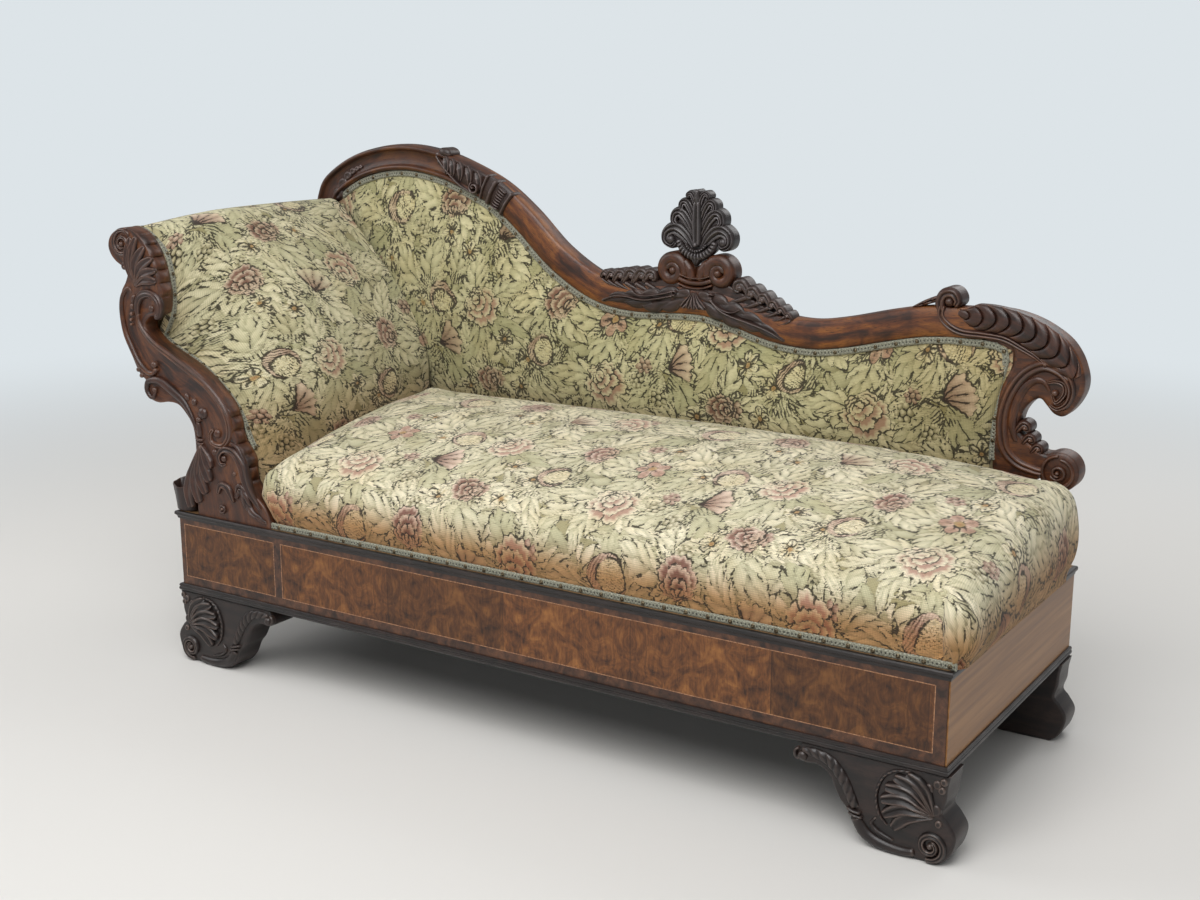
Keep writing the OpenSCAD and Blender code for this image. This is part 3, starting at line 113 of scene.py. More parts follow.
# %% [markdown]
# ## Curves
#
# Every outline is a smooth curve through a few shares. Catmull-Rom curves pass
# through their points, so the shares can be read straight off the object.

# %% Curve helpers
# Points that a smooth curve has for each of its spans
SPAN = 8


def pts(rows, width=2):
    """Rows of numbers from text such as "0 1, .5 .8". Lists and arrays pass through."""
    if isinstance(rows, str):
        return np.array(rows.replace(",", " ").split(), float).reshape(-1, width)
    return np.asarray(rows, float)


def cubic(a, b, c, d, t):
    """Catmull-Rom: the cubic from b to c whose slopes there are half the difference between the
    neighbours."""
    return 0.5 * (2 * b + (c - a) * t + (2 * a - 5 * b + 4 * c - d) * t**2 + (3 * b - a - 3 * c + d) * t**3)


def smooth(points, steps=SPAN):
    """The Catmull-Rom curve through all the points, whose ends count twice."""
    p = pts(points)
    rows = np.vstack([p[:1], p[:-2]]), p[:-1], p[1:], np.vstack([p[2:], p[-1:]])
    curve = cubic(*(q[:, None, :] for q in rows), (np.arange(steps) / steps)[None, :, None])
    return np.vstack([curve.reshape(-1, p.shape[1]), p[-1:]])


def read_at(at, places, values, **more):
    """Each column of the values, read between the places that they stand at."""
    return np.stack([np.interp(at, places, column, **more) for column in values.T], -1)


def at_index(curve, index):
    """Points of a smooth curve at places counted in its control points."""
    return read_at(np.asarray(index) * SPAN, np.arange(len(curve)), curve)


def arc_lengths(path):
    """Distance along a path at each of its points: the running sum of its steps."""
    return np.concatenate([[0], np.cumsum(np.linalg.norm(np.diff(path, axis=0), axis=1))])


def even(path, count):
    """The path again, with count points spaced evenly along it."""
    run = arc_lengths(path)
    return read_at(np.linspace(0, run[-1], count), run, path)


def ring(outline, count):
    """A closed outline with count points spaced evenly round it."""
    return even(np.vstack([outline, outline[:1]]), count + 1)[:-1]


def unit(v):
    """Vectors of length one, along the last axis."""
    return v / np.maximum(np.linalg.norm(v, axis=-1, keepdims=True), 1e-12)


def left_of(path):
    """Unit normals to the left of a flat path: its direction turned a quarter to the left."""
    d = unit(np.gradient(path, axis=0))
    return np.stack([-d[:, 1], d[:, 0]], 1)


def beside(path, off):
    """A path that runs beside a flat path, off to its left."""
    return path + left_of(path) * np.reshape(off, (-1, 1))


def off_line(line, way, off):
    """Flat points (n, k, 2) that stand off each of n points along its way, by off (n, k)."""
    return line[:, None] + way[:, None] * off[..., None]


def upright(flat, y):
    """Flat points of X and Z stood up in space at the depth y."""
    return np.stack(np.broadcast_arrays(flat[..., 0], y, flat[..., 1]), -1)


def ease(t):
    """Smooth step from 0 to 1: 3t squared less 2t cubed, held at its ends."""
    t = np.clip(t, 0, 1)
    return t * t * (3 - 2 * t)


def spiral(centre, r0, r1, turns, start, count=140):
    """Points round a centre while the radius shrinks from r0 to r1 and the angle grows from
    start, in degrees, by so many turns. Negative turns run clockwise."""
    t = np.linspace(0, 1, count)
    a = np.radians(start) + 2 * np.pi * turns * t
    r = r0 + (r1 - r0) * t**0.85
    return np.asarray(centre) + r[:, None] * np.stack([np.cos(a), np.sin(a)], 1)


# %% Outlines shared with the solids
def head_x(share):
    """X on the scrolled end: negative shares hang out past the base, positive ones run inward."""
    share = np.asarray(share, float)
    return BASE_X0 + np.where(share < 0, share * HEAD_OVER, share * HEAD_REACH)


def head_points(shares, rise=HEAD_RISE):
    """Points of the scrolled end from shares of its reach and of its rise above the base."""
    s = pts(shares)
    return np.stack([head_x(s[:, 0]), BASE_TOP + s[:, 1] * rise], 1)


def scroll_points(shares):
    """Points of the foot scroll, from the foot end of the base inward and up from its top."""
    return (BASE_X1, BASE_TOP) + pts(shares) * (-SCROLL_W, SCROLL_H)


def crest_points(shares):
    """Points on the crest, as shares of the base's length and the crest's rise."""
    return (BASE_X0, BASE_TOP) + pts(shares) * (BASE_LEN, CREST_RISE - CREST_W / 2)


BOARD_LEFT_SHARES = ("-.65 1, -.78 .994, -.94 .968, -1 .935, -.97 .904, -.87 .878, -.72 .858, -.66 .84,"
                     " -.71 .807, -.8 .773, -.85 .724, -.85 .668, -.79 .605, -.68 .543, -.57 .489, -.45 .462,"
                     " -.43 .445, -.46 .424, -.38 .397, -.22 .387, -.02 .395, .09 .39, .17 .361, .23 .324,"
                     " .25 .277, .25 .212, .235 .138, .235 0")
BOARD_RIGHT_SHARES = ("1 0, .99 .03, .94 .075, .84 .115, .78 .165, .77 .229, .69 .279, .66 .308, .64 .355,"
                      " .59 .407, .5 .449, .37 .498, .21 .538, .02 .574, -.24 .609, -.4 .655, -.3 .69,"
                      " -.12 .708, -.07 .771, -.09 .81, -.12 .849, -.18 .895, -.29 .947, -.45 .984, -.65 1")
CREST_SHARES = ("-.043 .856, -.032 .901, .006 .957, .051 .99, .1 1, .147 .985, .187 .957, .239 .903,"
                " .284 .826, .333 .721, .389 .644, .441 .619, .5 .624, .548 .624, .593 .599, .637 .57,"
                " .684 .56, .727 .574, .788 .609, .831 .627, .888 .633")
crest_line = smooth(crest_points(CREST_SHARES))
print("crest line:", len(crest_line), "points,", round(arc_lengths(crest_line)[-1], 3), "m")


# %% [markdown]
# ## Meshes from grids
#
# Almost every piece here is a grid of points bent into shape. One function turns rows of closed
# rings into a skin and writes the real distance along and across it into the UV map, so grain
# keeps its true scale. The padded forms take their UV from the places in the flat cloth.

# %% Mesh helpers
def new_mesh(name, points, faces, corner_uv, material):
    """A mesh object at the origin from point, face and corner arrays. Faces is a list of arrays,
    one array for each number of corners."""
    mesh = bpy.data.meshes.new(name)
    mesh.vertices.add(len(points))
    mesh.vertices.foreach_set("co", np.ascontiguousarray(points, np.float32).ravel())
    corners = np.concatenate([f.ravel() for f in faces]).astype(np.int32)
    sizes = np.concatenate([np.full(len(f), f.shape[1]) for f in faces]).astype(np.int32)
    mesh.loops.add(len(corners))
    mesh.loops.foreach_set("vertex_index", corners)
    mesh.polygons.add(len(sizes))
    mesh.polygons.foreach_set("loop_start", np.concatenate([[0], np.cumsum(sizes)[:-1]]).astype(np.int32))
    mesh.update(calc_edges=True)
    layer = mesh.uv_layers.new(name="surface")
    layer.data.foreach_set("uv", np.ascontiguousarray(corner_uv, np.float32).ravel())
    mesh.shade_smooth()
    mesh.set_sharp_from_angle(angle=math.radians(52))
    mesh.materials.append(material)
    return placed(name, mesh)


def taken(items, key, width=3, kind=np.float32):
    """One property of all the items, as rows of so many numbers."""
    values = np.empty(len(items) * width, kind)
    items.foreach_get(key, values)
    return values.reshape(-1, width)


def mark_relief_light(obj, radius=2.5 * MM):
    """Stores how far each point stands out from its neighbours, as the attribute that the finishes
    read to paint shade into hollows and a highlight onto ridges, which also stand for wear: the
    distance from the neighbours' mean along the normal, over the edge length squared, times a radius.
    Ridges come out positive and hollows negative, whatever the grid's spacing."""
    mesh = obj.data
    n = len(mesh.vertices)
    co, normal = taken(mesh.vertices, "co").astype(float), taken(mesh.vertices, "normal")
    a, b = taken(mesh.edges, "vertices", 2, np.int32).T
    count = np.bincount(np.concatenate([a, b]), minlength=n)[:, None]

    def mean_of(values):
        total = np.stack([np.bincount(a, column[b], n) + np.bincount(b, column[a], n) for column in values.T], 1)
        return total / np.maximum(count, 1)

    length = np.linalg.norm(co[a] - co[b], axis=1) ** 2
    square = np.bincount(a, length, n) + np.bincount(b, length, n)
    bend = ((co - mean_of(co)) * normal).sum(1) * 2 / np.maximum(square / count[:, 0], 1e-12) * radius
    bend = np.clip(bend, -1.5, 1.5)[:, None]
    for _ in range(2):
        bend = 0.5 * bend + 0.5 * mean_of(bend)
    mesh.attributes.new("wear_and_relief_light", "FLOAT", "POINT").data.foreach_set("value", bend[:, 0].astype(np.float32))


def carried(obj, node):
    """Lets a piece ride on the root body and hides the solid it stands for."""
    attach(obj, "root")
    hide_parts(node)
    print(obj.name, "faces:", len(obj.data.polygons))
    return obj


def grid_quads(n, k, wrap=True):
    """Corners of the faces between n rows of k points, and each face's row and column."""
    i, j = np.meshgrid(np.arange(n - 1), np.arange(k if wrap else k - 1), indexing="ij")
    i, j = i.ravel(), j.ravel()
    after = (j + 1) % k
    return np.stack([i * k + j, (i + 1) * k + j, (i + 1) * k + after, i * k + after], 1), i, j


def skin(rings, ends="fan"):
    """A part of a mesh: the closed skin over rows of closed rings (n, k, 3). Its ends are fans to
    the middle of the ring, or single flat faces. Faces turn round if the volume is negative."""
    n, k, _ = rings.shape
    points = rings.reshape(-1, 3)
    quads, i, j = grid_quads(n, k)
    along = arc_lengths(rings.mean(1))
    across = arc_lengths(np.vstack([rings[n // 2], rings[n // 2, :1]]))
    uv = np.stack([along[np.stack([i, i + 1, i + 1, i], 1)], across[np.stack([j, j, j + 1, j + 1], 1)]], -1)
    row, last = np.arange(k), (n - 1) * k
    if ends == "fan":
        points = np.vstack([points, rings[0].mean(0), rings[-1].mean(0)])
        after = (row + 1) % k
        caps = [np.vstack([np.stack([np.full(k, n * k), row, after], 1),
                           np.stack([np.full(k, n * k + 1), last + after, last + row], 1)])]
    else:
        caps = [row[None, :], (last + row[::-1])[None, :]]
    faces, uvs = [quads, *caps], [uv, *(points[cap][..., [0, 2]] for cap in caps)]
    tri = np.vstack([np.stack([f[:, 0], f[:, q], f[:, q + 1]], 1) for f in faces
                     for q in range(1, f.shape[1] - 1)])
    a, b, c = (points[tri[:, q]] - points[0] for q in range(3))
    if np.einsum("ij,ij->i", a, np.cross(b, c)).sum() < 0:
        faces, uvs = [f[:, ::-1] for f in faces], [u[:, ::-1] for u in uvs]
    return points, faces, uvs


def build(name, parts, material, node):
    """One piece from several parts, with its relief marked for painted shade and highlight, in the place of a
    solid.
    """
    starts = np.cumsum([0] + [len(part[0]) for part in parts])
    faces = [f + start for part, start in zip(parts, starts) for f in part[1]]
    uvs = [u.reshape(-1, 2) for part in parts for u in part[2]]
    piece = new_mesh(name, np.vstack([part[0] for part in parts]), faces, np.vstack(uvs), material)
    mark_relief_light(piece)
    return carried(piece, node)


def area_of(outline):
    """Twice the signed area inside a closed flat outline: the sum of its cross products."""
    after = np.roll(outline, -1, 0)
    return (outline[:, 0] * after[:, 1] - after[:, 0] * outline[:, 1]).sum()


def shrunk(outline, by):
    """A closed outline moved inward. A point that comes nearer to the outline than it should has
    crossed over at a tight corner, so it moves to the line between its good neighbours."""
    if by < 1e-7:
        return outline
    step = np.roll(outline, -1, 0) - np.roll(outline, 1, 0)
    moved = outline + unit(np.stack([-step[:, 1], step[:, 0]], 1)) * np.sign(area_of(outline)) * by
    nearest = np.linalg.norm(moved[:, None] - outline[None], axis=2).min(1)
    good = np.flatnonzero(nearest > by * 0.99)
    return read_at(np.arange(len(outline)), good, moved[good], period=len(outline))


def slab(outline, y0, y1, rounding=4 * MM, back_rounding=1.5 * MM, steps=6):
    """An upright board with a closed outline in X and Z. Both edges are rounded: at each turn of a
    quarter circle the outline shrinks by the radius times 1 less the sine."""
    turns = np.linspace(0, np.pi / 2, steps)
    rings = [upright(shrunk(outline, abs(radius) * (1 - np.sin(a))), face + radius * (1 - np.cos(a)))
             for radius, face, angles in ((rounding, y0, turns), (-back_rounding, y1, turns[::-1]))
             for a in angles]
    return skin(np.array(rings), ends="flat")


# %% [markdown]
# ## Carved strokes
#
# A carver works in strokes: a bead, a reed, a leaf lobe and a scroll are each a ridge whose section
# changes along a line. So one function carries a section along a path, and a boss gives eyes, balls
# and berries. A section says how high the wood stands, as a share of the stroke's depth, at a
# share t along it and s across it, from -1 to 1.

# %% Carving helpers
def rounded(t, s):
    """Half-round: the root of 1 less s squared."""
    return np.sqrt(np.maximum(1 - s**2, 0))


def cupped(t, s):
    """A lobe with raised rims and a sunk middle."""
    return np.sqrt(np.maximum(1 - s**4, 0)) * (0.62 + 0.38 * np.sin(np.pi * np.abs(s) ** 1.5))


def scaled(count, bow=0.9):
    """Overlapping scales: each is a dome along its length, the root of 1 less a square, and drops
    at an edge that bows forward."""
    def height(t, s):
        part = (count * t + bow * (s**2 - 1)) % 1
        return rounded(t, s) ** 0.7 * (0.25 + 0.75 * np.sqrt(np.maximum(1 - ((part - 0.66) / 0.68) ** 2, 0)))
    return height


def ridged(count, groove=0.4):
    """Half-round, cut into parallel ridges by the size of a sine across it."""
    return lambda t, s: rounded(t, s) * (1 - groove + groove * np.abs(np.sin(np.pi * count * (s + 1) / 2)))


def roped(count, lean=0.35, groove=0.45):
    """Half-round, cut into slanting strands by the size of a sine along it."""
    return lambda t, s: rounded(t, s) * (1 - groove + groove
                                         * np.abs(np.sin(np.pi * (count * t + lean * s))) ** 0.6)


def leafy(lobes, sweep=0.5, groove=0.42):
    """Acanthus: a low dome with a sunk midrib, and folds that sweep from it to each lobe's tip."""
    def height(t, s):
        folds = np.abs(np.sin(np.pi * (lobes * t - sweep * np.abs(s) * lobes / 4))) ** 0.7
        rib = 1 - 0.4 * np.exp(-(s / 0.13) ** 2)
        return np.sqrt(np.maximum(1 - s**4, 0)) * (1 - groove + groove * folds) * rib
    return height


def spread(values, t):
    """A few values spread evenly from 0 to 1, read at t."""
    return np.interp(t, np.linspace(0, 1, len(values)), values)


def stroke(path, half, depth, y, section=rounded, sink=3 * MM, step=1.5 * MM, across=15, curve=True, lobes=0):
    """A carved ridge on an upright face at y. Path is in X and Z, half widths and depths are a few
    values along it in millimetres, and the back is sunk into the wood. Both ends are rounded. Lobes
    cut into the width where the folds of a leaf end."""
    line = smooth(path) if curve else np.asarray(path, float)
    count = max(14, int(arc_lengths(line)[-1] / step))
    line = even(line, count)
    t = np.linspace(0, 1, count)[:, None]
    ends = np.sqrt(np.clip(1 - np.abs(2 * t - 1) ** (count / 2.5), 0.0004, 1)) * MM
    width = spread(half, t) * ends
    if lobes:
        width = width * (0.7 + 0.3 * np.abs(np.sin(np.pi * (lobes * t - lobes / 8))) ** 0.7)
    s = np.sin(np.linspace(-np.pi / 2, np.pi / 2, across))[None, :]
    flat = off_line(line, left_of(line), width * s)
    back = upright(flat[:, ::-1], y + sink)[:, [0, -1]]
    return skin(np.concatenate([upright(flat, y - section(t, s) * spread(depth, t) * ends), back], 1))


def boss(centre, rx, rz, depth, y, turn=0.0, sink=3 * MM, around=22, rings=8, dent=0.0):
    """A domed ball or berry, in millimetres. Ring by ring the radius falls as a cosine while the
    height grows as a sine, and a dent sinks its middle again."""
    a = np.linspace(0, np.pi / 2, rings)[:, None]
    b = np.linspace(0, 2 * np.pi, around, endpoint=False)[None, :]
    reach = (np.cos(a) * 0.999 + 0.001) * MM
    u, v = rx * reach * np.cos(b), rz * reach * np.sin(b)
    c, s = math.cos(turn), math.sin(turn)
    height = depth * MM * (np.sin(a) - dent * np.sin(a) ** 6)
    dome = upright(np.ravel(centre) + np.stack([u * c - v * s, u * s + v * c], -1), y - height)
    foot = dome[:1].copy()
    foot[..., 1] = y + sink
    return skin(np.concatenate([foot, dome]))


def volute(centre, r0, r1, turns, start, half, depth, y, section=rounded, eye=0.0):
    """A spiral stroke round a centre, with a boss for its eye. Radii are in millimetres."""
    line = spiral(np.ravel(centre), r0 * MM, r1 * MM, turns, start)
    parts = [stroke(line, half, depth, y, section, curve=False)]
    return parts + [boss(centre, eye, eye, depth[-1] * 1.15, y)] if eye else parts


def carve(place, y, rows, **common):
    """Strokes and bosses from the rows of a table. A stroke's row holds a path, half widths, depths
    and perhaps a section. A boss's row holds a point, two radii, a depth and perhaps a turn. A last
    dict holds any other setting of that row. Place turns shares into points."""
    parts = []
    for row in rows:
        own = {"y": y, **common, **(row[-1] if isinstance(row[-1], dict) else {})}
        values = [value for value in row[1:] if not isinstance(value, dict)]
        tool, k = (boss, 3) if np.isscalar(values[0]) else (stroke, 2)
        parts.append(tool(place(row[0]), *values[:k], own.pop("y"), *values[k:], **own))
    return parts


# %% [markdown]
# ## Materials
#
# Each finish is a small graph of nodes. One function adds a node, sets it and links it, so a
# material reads as a list of what the light meets: grain, pores, polish and wear, with painted
# shade in hollows and painted highlight on ridges.

# %% Material helpers
# Short names of kinds of node that come up often, with their settings
KINDS = {"range": ("MapRange", {"interpolation_type": "SMOOTHSTEP"}), "mix": ("Mix", {"data_type": "RGBA"}),
         "tint": ("Mix", {"data_type": "RGBA", "blend_type": "MULTIPLY"})}
for operation in ("add", "subtract", "multiply", "multiply_add", "divide", "floor", "sqrt", "pingpong"):
    KINDS[operation] = ("Math", {"operation": operation.upper()})


def rgb(hex_colour):
    """An sRGB hex colour as linear values: each channel is divided by 12.92 below 0.04045, and
    above it is ((c + 0.055) / 1.055) to the power 2.4."""
    c = np.array([int(hex_colour[i:i + 2], 16) for i in (1, 3, 5)]) / 255
    return (*np.where(c <= 0.04045, c / 12.92, ((c + 0.055) / 1.055) ** 2.4), 1.0)


def add(tree, kind, *values, out=None, stops=(), **named):
    """Adds one node and gives its first output, or the one that out names. Values fill its inputs
    in order, hex text is a colour, and another node's output is linked. Names in lower case are
    settings and others are inputs. Stops are the places and colours of a ramp."""
    kind, preset = KINDS.get(kind, (kind, {}))
    node = tree.nodes.new("ShaderNode" + kind)
    for key, value in {**preset, **named}.items():
        if key[0].islower():
            setattr(node, key, value)
    pairs = list(zip([socket for socket in node.inputs if socket.enabled], values))
    pairs += [(node.inputs[key.replace("_", " ")], value) for key, value in named.items() if key[0].isupper()]
    for socket, value in pairs:
        if isinstance(value, bpy.types.NodeSocket):
            tree.links.new(value, socket)
        else:
            socket.default_value = rgb(value) if isinstance(value, str) else value
    for number, (place, colour) in enumerate(stops):
        band = node.color_ramp.elements
        stop = band[number] if number < len(band) else band.new(place)
        stop.position, stop.color = place, rgb(colour)
    found = [socket for socket in node.outputs if socket.enabled and out in (None, socket.name)]
    return found[0] if found else node


def new_material(name, **surface):
    """A material, its nodes, and its Principled shader with plain values on its own sockets."""
    material = bpy.data.materials.new(name)
    material.use_nodes = True
    tree = material.node_tree
    tree.nodes.clear()
    shader = add(tree, "BsdfPrincipled", **surface).node
    add(tree, "OutputMaterial", shader.outputs[0])
    return material, tree, shader


def surfaced(made, colour, bump):
    """Links a colour and a bump to the shader of a new material, and gives the material."""
    material, tree, shader = made
    tree.links.new(colour, shader.inputs["Base Color"])
    tree.links.new(bump, shader.inputs["Normal"])
    return material


def stretched_noise(tree, vector, scale, detail=4.0, rough=0.55, distortion=0.0):
    """Noise that is drawn out along an axis. Scale is in cycles a metre on each axis."""
    mapped = add(tree, "Mapping", vector, Scale=scale)
    return add(tree, "TexNoise", mapped, 1.0, detail, rough, Distortion=distortion)


# %% [markdown]
# ## Walnut
#
# European walnut polished with shellac and wax: red-brown with dark streaks along the grain, fine
# open pores, and a soft shine. Streaks are about 14 mm wide and 200 mm long, and pores 0.8 mm by
# 14 mm, drawn a little coarser than life so that they show. The carving was stained darker. Its
# hollows are darkened with painted shade, partly wax and dust, and its ridges are lightened to a
# painted greyish highlight, partly rubbed wear. The rail over the arch is darkened with painted
# shade.

# %% Walnut materials
def walnut(name, tones, uv=True, rough=0.38, wear_and_relief_light=0.0, swap=False, coat=0.15, rub_and_sheen="#8a7468", shaded_arch=False):
    """Walnut with its grain along the first UV axis, or along X (Y if swapped) on a solid. One
    strength sets how far ridges lighten to a painted highlight tone, partly rubbed wear, and hollows
    darken with painted shade, partly wax and dust, read from the piece's relief attribute. Another
    setting paints shade over the wood of the arch, by its place along X."""
    made = _, tree, shader = new_material(name, Coat_Weight=coat, Coat_Roughness=0.22)
    source = add(tree, "TexCoord", out="UV" if uv else "Object")
    if swap:
        source = add(tree, "Mapping", source, Rotation=(0, 0, math.pi / 2))
    streaks = stretched_noise(tree, source, (5, 70, 70), 5.0, 0.6, 0.6)
    figure = stretched_noise(tree, source, (14, 26, 26), 3.0, 0.5, 1.2)
    pores = stretched_noise(tree, source, (70, 1250, 1250), 2.0, 0.5)
    grain = add(tree, "add", streaks, figure)
    dark, mid, light = tones
    colour = add(tree, "ValToRGB", add(tree, "multiply", grain, 0.5),
                 stops=((0.38, dark), (0.5, mid), (0.62, light)))
    pore = add(tree, "range", pores, 0.34, 0.46)
    colour = add(tree, "mix", pore, dark, colour)
    # Painted shade: the wood of the arch darkens towards #1c1210 by its place along X.
    if shaded_arch:
        along = add(tree, "SeparateXYZ", add(tree, "TexCoord", out="Object"))
        colour = add(tree, "mix", add(tree, "range", along, -0.44, -0.36, 0.42, 0.0), colour, "#1c1210")
    # Painted shade darkens the hollows (partly wax and dust) and a painted highlight lightens the ridges (partly
    # rubbed wear), both read from the relief attribute.
    if wear_and_relief_light:
        relief_level = add(tree, "Attribute", attribute_name="wear_and_relief_light", out="Fac")
        colour = add(tree, "mix", add(tree, "range", relief_level, -0.05, -0.75, 0.0, 0.9 * wear_and_relief_light), colour, "#0b0807")
        colour = add(tree, "mix", add(tree, "range", relief_level, 0.12, 0.9, 0.0, 0.7 * wear_and_relief_light), colour, rub_and_sheen)
        matt = add(tree, "range", relief_level, -0.5, 0.4, rough + 0.25, rough)
    else:
        matt = add(tree, "range", grain, 0.6, 1.4, rough + 0.08, rough - 0.06)
    tree.links.new(matt, shader.inputs["Roughness"])
    open_pores = add(tree, "Bump", Height=pore, Strength=0.25, Distance=0.15 * MM)
    waves = add(tree, "Bump", Height=figure, Strength=0.25, Distance=0.6 * MM, Normal=open_pores)
    return surfaced(made, colour, waves)


RED_TONES = ("#241108", "#4c2711", "#6c3e1c")
RAIL_TONES = ("#2a1308", "#5e3114", "#85501f")
CARVED_TONES = ("#150c0a", "#2a1914", "#3c261e")
LEAF_TONES = ("#1b0d08", "#3d2116", "#593626")
FOOT_TONES = ("#100a09", "#211613", "#30211c")
CREST_TONES = ("#1a100d", "#38261f", "#513c34")
# Greyish tones: a painted bluish reflection over the palmette.
REFLECTION_GREY_TONES = ("#17120f", "#2e2625", "#443c3c")
BLACK_TONES = ("#0d0908", "#1b1311", "#2c211e")
# The ridge tones given below are painted highlights, partly rubbed wear; on the crest carving and the palmette
# they are greyish, a painted reflection of the pale room.
crest_walnut = walnut("crest_carving_walnut", CREST_TONES, wear_and_relief_light=1.0, rough=0.36, rub_and_sheen="#8f7c78")
grey_walnut = walnut("palmette_walnut", REFLECTION_GREY_TONES, wear_and_relief_light=1.0, rough=0.34, rub_and_sheen="#918a8c")
# This rail gets painted shade over the arch.
polished_walnut = walnut("polished_walnut", RAIL_TONES, wear_and_relief_light=0.75, shaded_arch=True)
panel_walnut = walnut("panel_walnut", RED_TONES, wear_and_relief_light=0.9)
carved_walnut = walnut("carved_walnut", CARVED_TONES, wear_and_relief_light=1.0)
moulding_front = walnut("moulding_along_x", BLACK_TONES, uv=False, rough=0.4)
moulding_end = walnut("moulding_along_y", BLACK_TONES, uv=False, rough=0.4, swap=True)
board_carving = walnut("board_carving_walnut", LEAF_TONES, wear_and_relief_light=1.0, rough=0.36, rub_and_sheen="#86624e")
foot_walnut = walnut("foot_walnut", FOOT_TONES, wear_and_relief_light=0.9, rough=0.36)
inner_walnut = walnut("ledge_walnut", CARVED_TONES, uv=False, rough=0.5, coat=0.0)
print("materials so far:", len(bpy.data.materials))

# %% [markdown]
# ## Floor, light and backdrop
#
# A pale floor under soft light from above. The lamps are large, so shadows stay soft, and their
# level is plain: a colour renders about as it is written.

# %% Stage
def area_lamp(name, place, aim, size, watts):
    """A square lamp at a place, turned to face a point."""
    data = bpy.data.lights.new(name, "AREA")
    data.shape, data.size, data.energy = "SQUARE", size, watts
    lamp = placed(name, data)
    lamp.location = place
    forward = np.subtract(aim, place)
    flat = math.hypot(forward[0], forward[1])
    lamp.rotation_euler = (math.atan2(flat, -forward[2]), 0, math.atan2(-forward[0], forward[1]))


area_lamp("key_lamp", (0.6, -2.3, 3.0), (0.0, 0.0, 0.45), 2.4, 84)
area_lamp("left_lamp", (-2.8, -1.2, 2.2), (0.0, 0.0, 0.5), 1.8, 26)
area_lamp("back_lamp", (0.8, 2.6, 2.6), (0.0, 0.0, 0.6), 2.0, 28)
sun = bpy.data.lights.new("even_sun", "SUN")
sun.energy, sun.angle = 0.6, 0.9
placed("even_sun", sun).rotation_euler = (0.35, 0.1, 0.2)

WALL = "#dde4e8"
world = bpy.data.worlds.new("plain_studio")
bpy.context.scene.world = world
world.use_nodes = True
sky = world.node_tree
sky.nodes.clear()
light = add(sky, "Background", "#f4f6f8", 0.36)
wall = add(sky, "Background", WALL, 1.0)
add(sky, "OutputWorld", add(sky, "MixShader", add(sky, "LightPath", out="Is Camera Ray"), light, wall))

# The floor fades into the colour of the wall between these distances from the middle
FADE_FROM, FADE_TO = 1.5, 4.5
FLOOR_HALF = 7.0
floor_mesh = bpy.data.meshes.new("floor")
floor_mesh.from_pydata([(x * FLOOR_HALF, y * FLOOR_HALF, 0) for x, y in ((-1, -1), (1, -1), (1, 1), (-1, 1))],
                       [], [(0, 1, 2, 3)])
floor = placed("floor", floor_mesh)
pale_floor, tree, shader = new_material("pale_floor", Base_Color="#d9d7d3", Roughness=0.7)
surface = shader.outputs[0].links[0].to_socket
spot = add(tree, "SeparateXYZ", add(tree, "TexCoord", out="Object")).node.outputs
away = add(tree, "multiply_add", spot[1], spot[1], add(tree, "multiply", spot[0], spot[0]))
distant = add(tree, "range", add(tree, "sqrt", away), FADE_FROM, FADE_TO)
tree.links.new(add(tree, "MixShader", distant, shader.outputs[0], add(tree, "Emission", WALL, 1.0)), surface)
floor_mesh.materials.append(pale_floor)
bpy.context.scene.view_settings.view_transform = "Standard"
print("stage ready")

# %% [markdown]
# ## Tapestry
#
# The cover is a woven verdure tapestry: large acanthus leaves in cream and sage, cabbage roses,
# pomegranates, fans and berries in dusty pink and maroon, all drawn with a dark outline. A
# shader alone can't draw such figures, and picture files aren't used, so the pattern is painted
# with formulas onto the points of a fine mesh. Each motif gives three things at a point: how far
# inside its edge the point is, a colour, and the distance to its nearest drawn line. Later motifs
# cover earlier ones. The shader turns the distance into ink, with an edge broken by the threads.

# %% Motifs: distances in millimetres
CREAM, SAGE, OLIVE, STRAW = (np.array(rgb(c)[:3]) for c in ("#efe8cb", "#c0be9b", "#827d5a", "#d9c793"))
ROSE, PINK, MAROON, RUST = (np.array(rgb(c)[:3]) for c in ("#e6d2bd", "#c2a08e", "#8c685c", "#a97a52"))
GROUND = np.array(rgb("#a8a27c")[:3])


def tone(a, b, t):
    """Colour between a and b by t, for each point."""
    t = np.clip(t, 0, 1)[:, None]
    return a * (1 - t) + b * t


def wavy(x, y, length, size):
    """Sum of four sines in different directions, from -1 to 1: a smooth wander of points."""
    total = 0
    for k, (a, b, c) in enumerate(((1, 0.35, 0), (-0.4, 1.1, 2), (0.75, -0.9, 4), (1.35, 0.8, 1))):
        total = total + np.sin((a * x + b * y) * 2 * np.pi / length + c + k)
    return total * size / 4


def acanthus(x, y, size, bend, lobes, light, dark):
    """Lobed leaf along +X. Its half width is a sine of the length's share, and its lobes lean
    towards the tip. Each lobe is dark behind the notch before it and pale at its own tip."""
    length, width = size
    t = x / length
    across = y - bend * length * t**2
    hull = width * np.sin(np.pi * np.clip(t, 0, 1) ** 0.72) ** 0.8 + 0.01
    share = np.abs(across) / hull
    phase = lobes * (t - 0.36 * share) + 0.5 * (across > 0)
    part = phase - np.floor(phase)
    lobe = np.sin(np.pi * part**1.9) ** 0.6
    edge = np.abs(across) - hull * (0.55 + 0.45 * lobe)
    edge = np.maximum(edge, np.abs(x - length / 2) - length / 2)
    notch = np.minimum(part, 1 - part) * length / lobes * 0.6 + np.maximum(0.45 - share, 0) * 26
    strokes = np.abs(across / 6.4 - np.round(across / 6.4)) * 6.4 + np.maximum(t - 0.26, 0) * 60 + 0.5
    rib = np.abs(across) + np.maximum(t - 0.6, 0) * 50 + 0.4
    shade = 0.18 + 0.98 * part**0.6 - 0.3 * np.exp(-(share / 0.16) ** 2)
    return edge, tone(dark, light, shade), np.minimum(np.minimum(notch, rib), strokes)


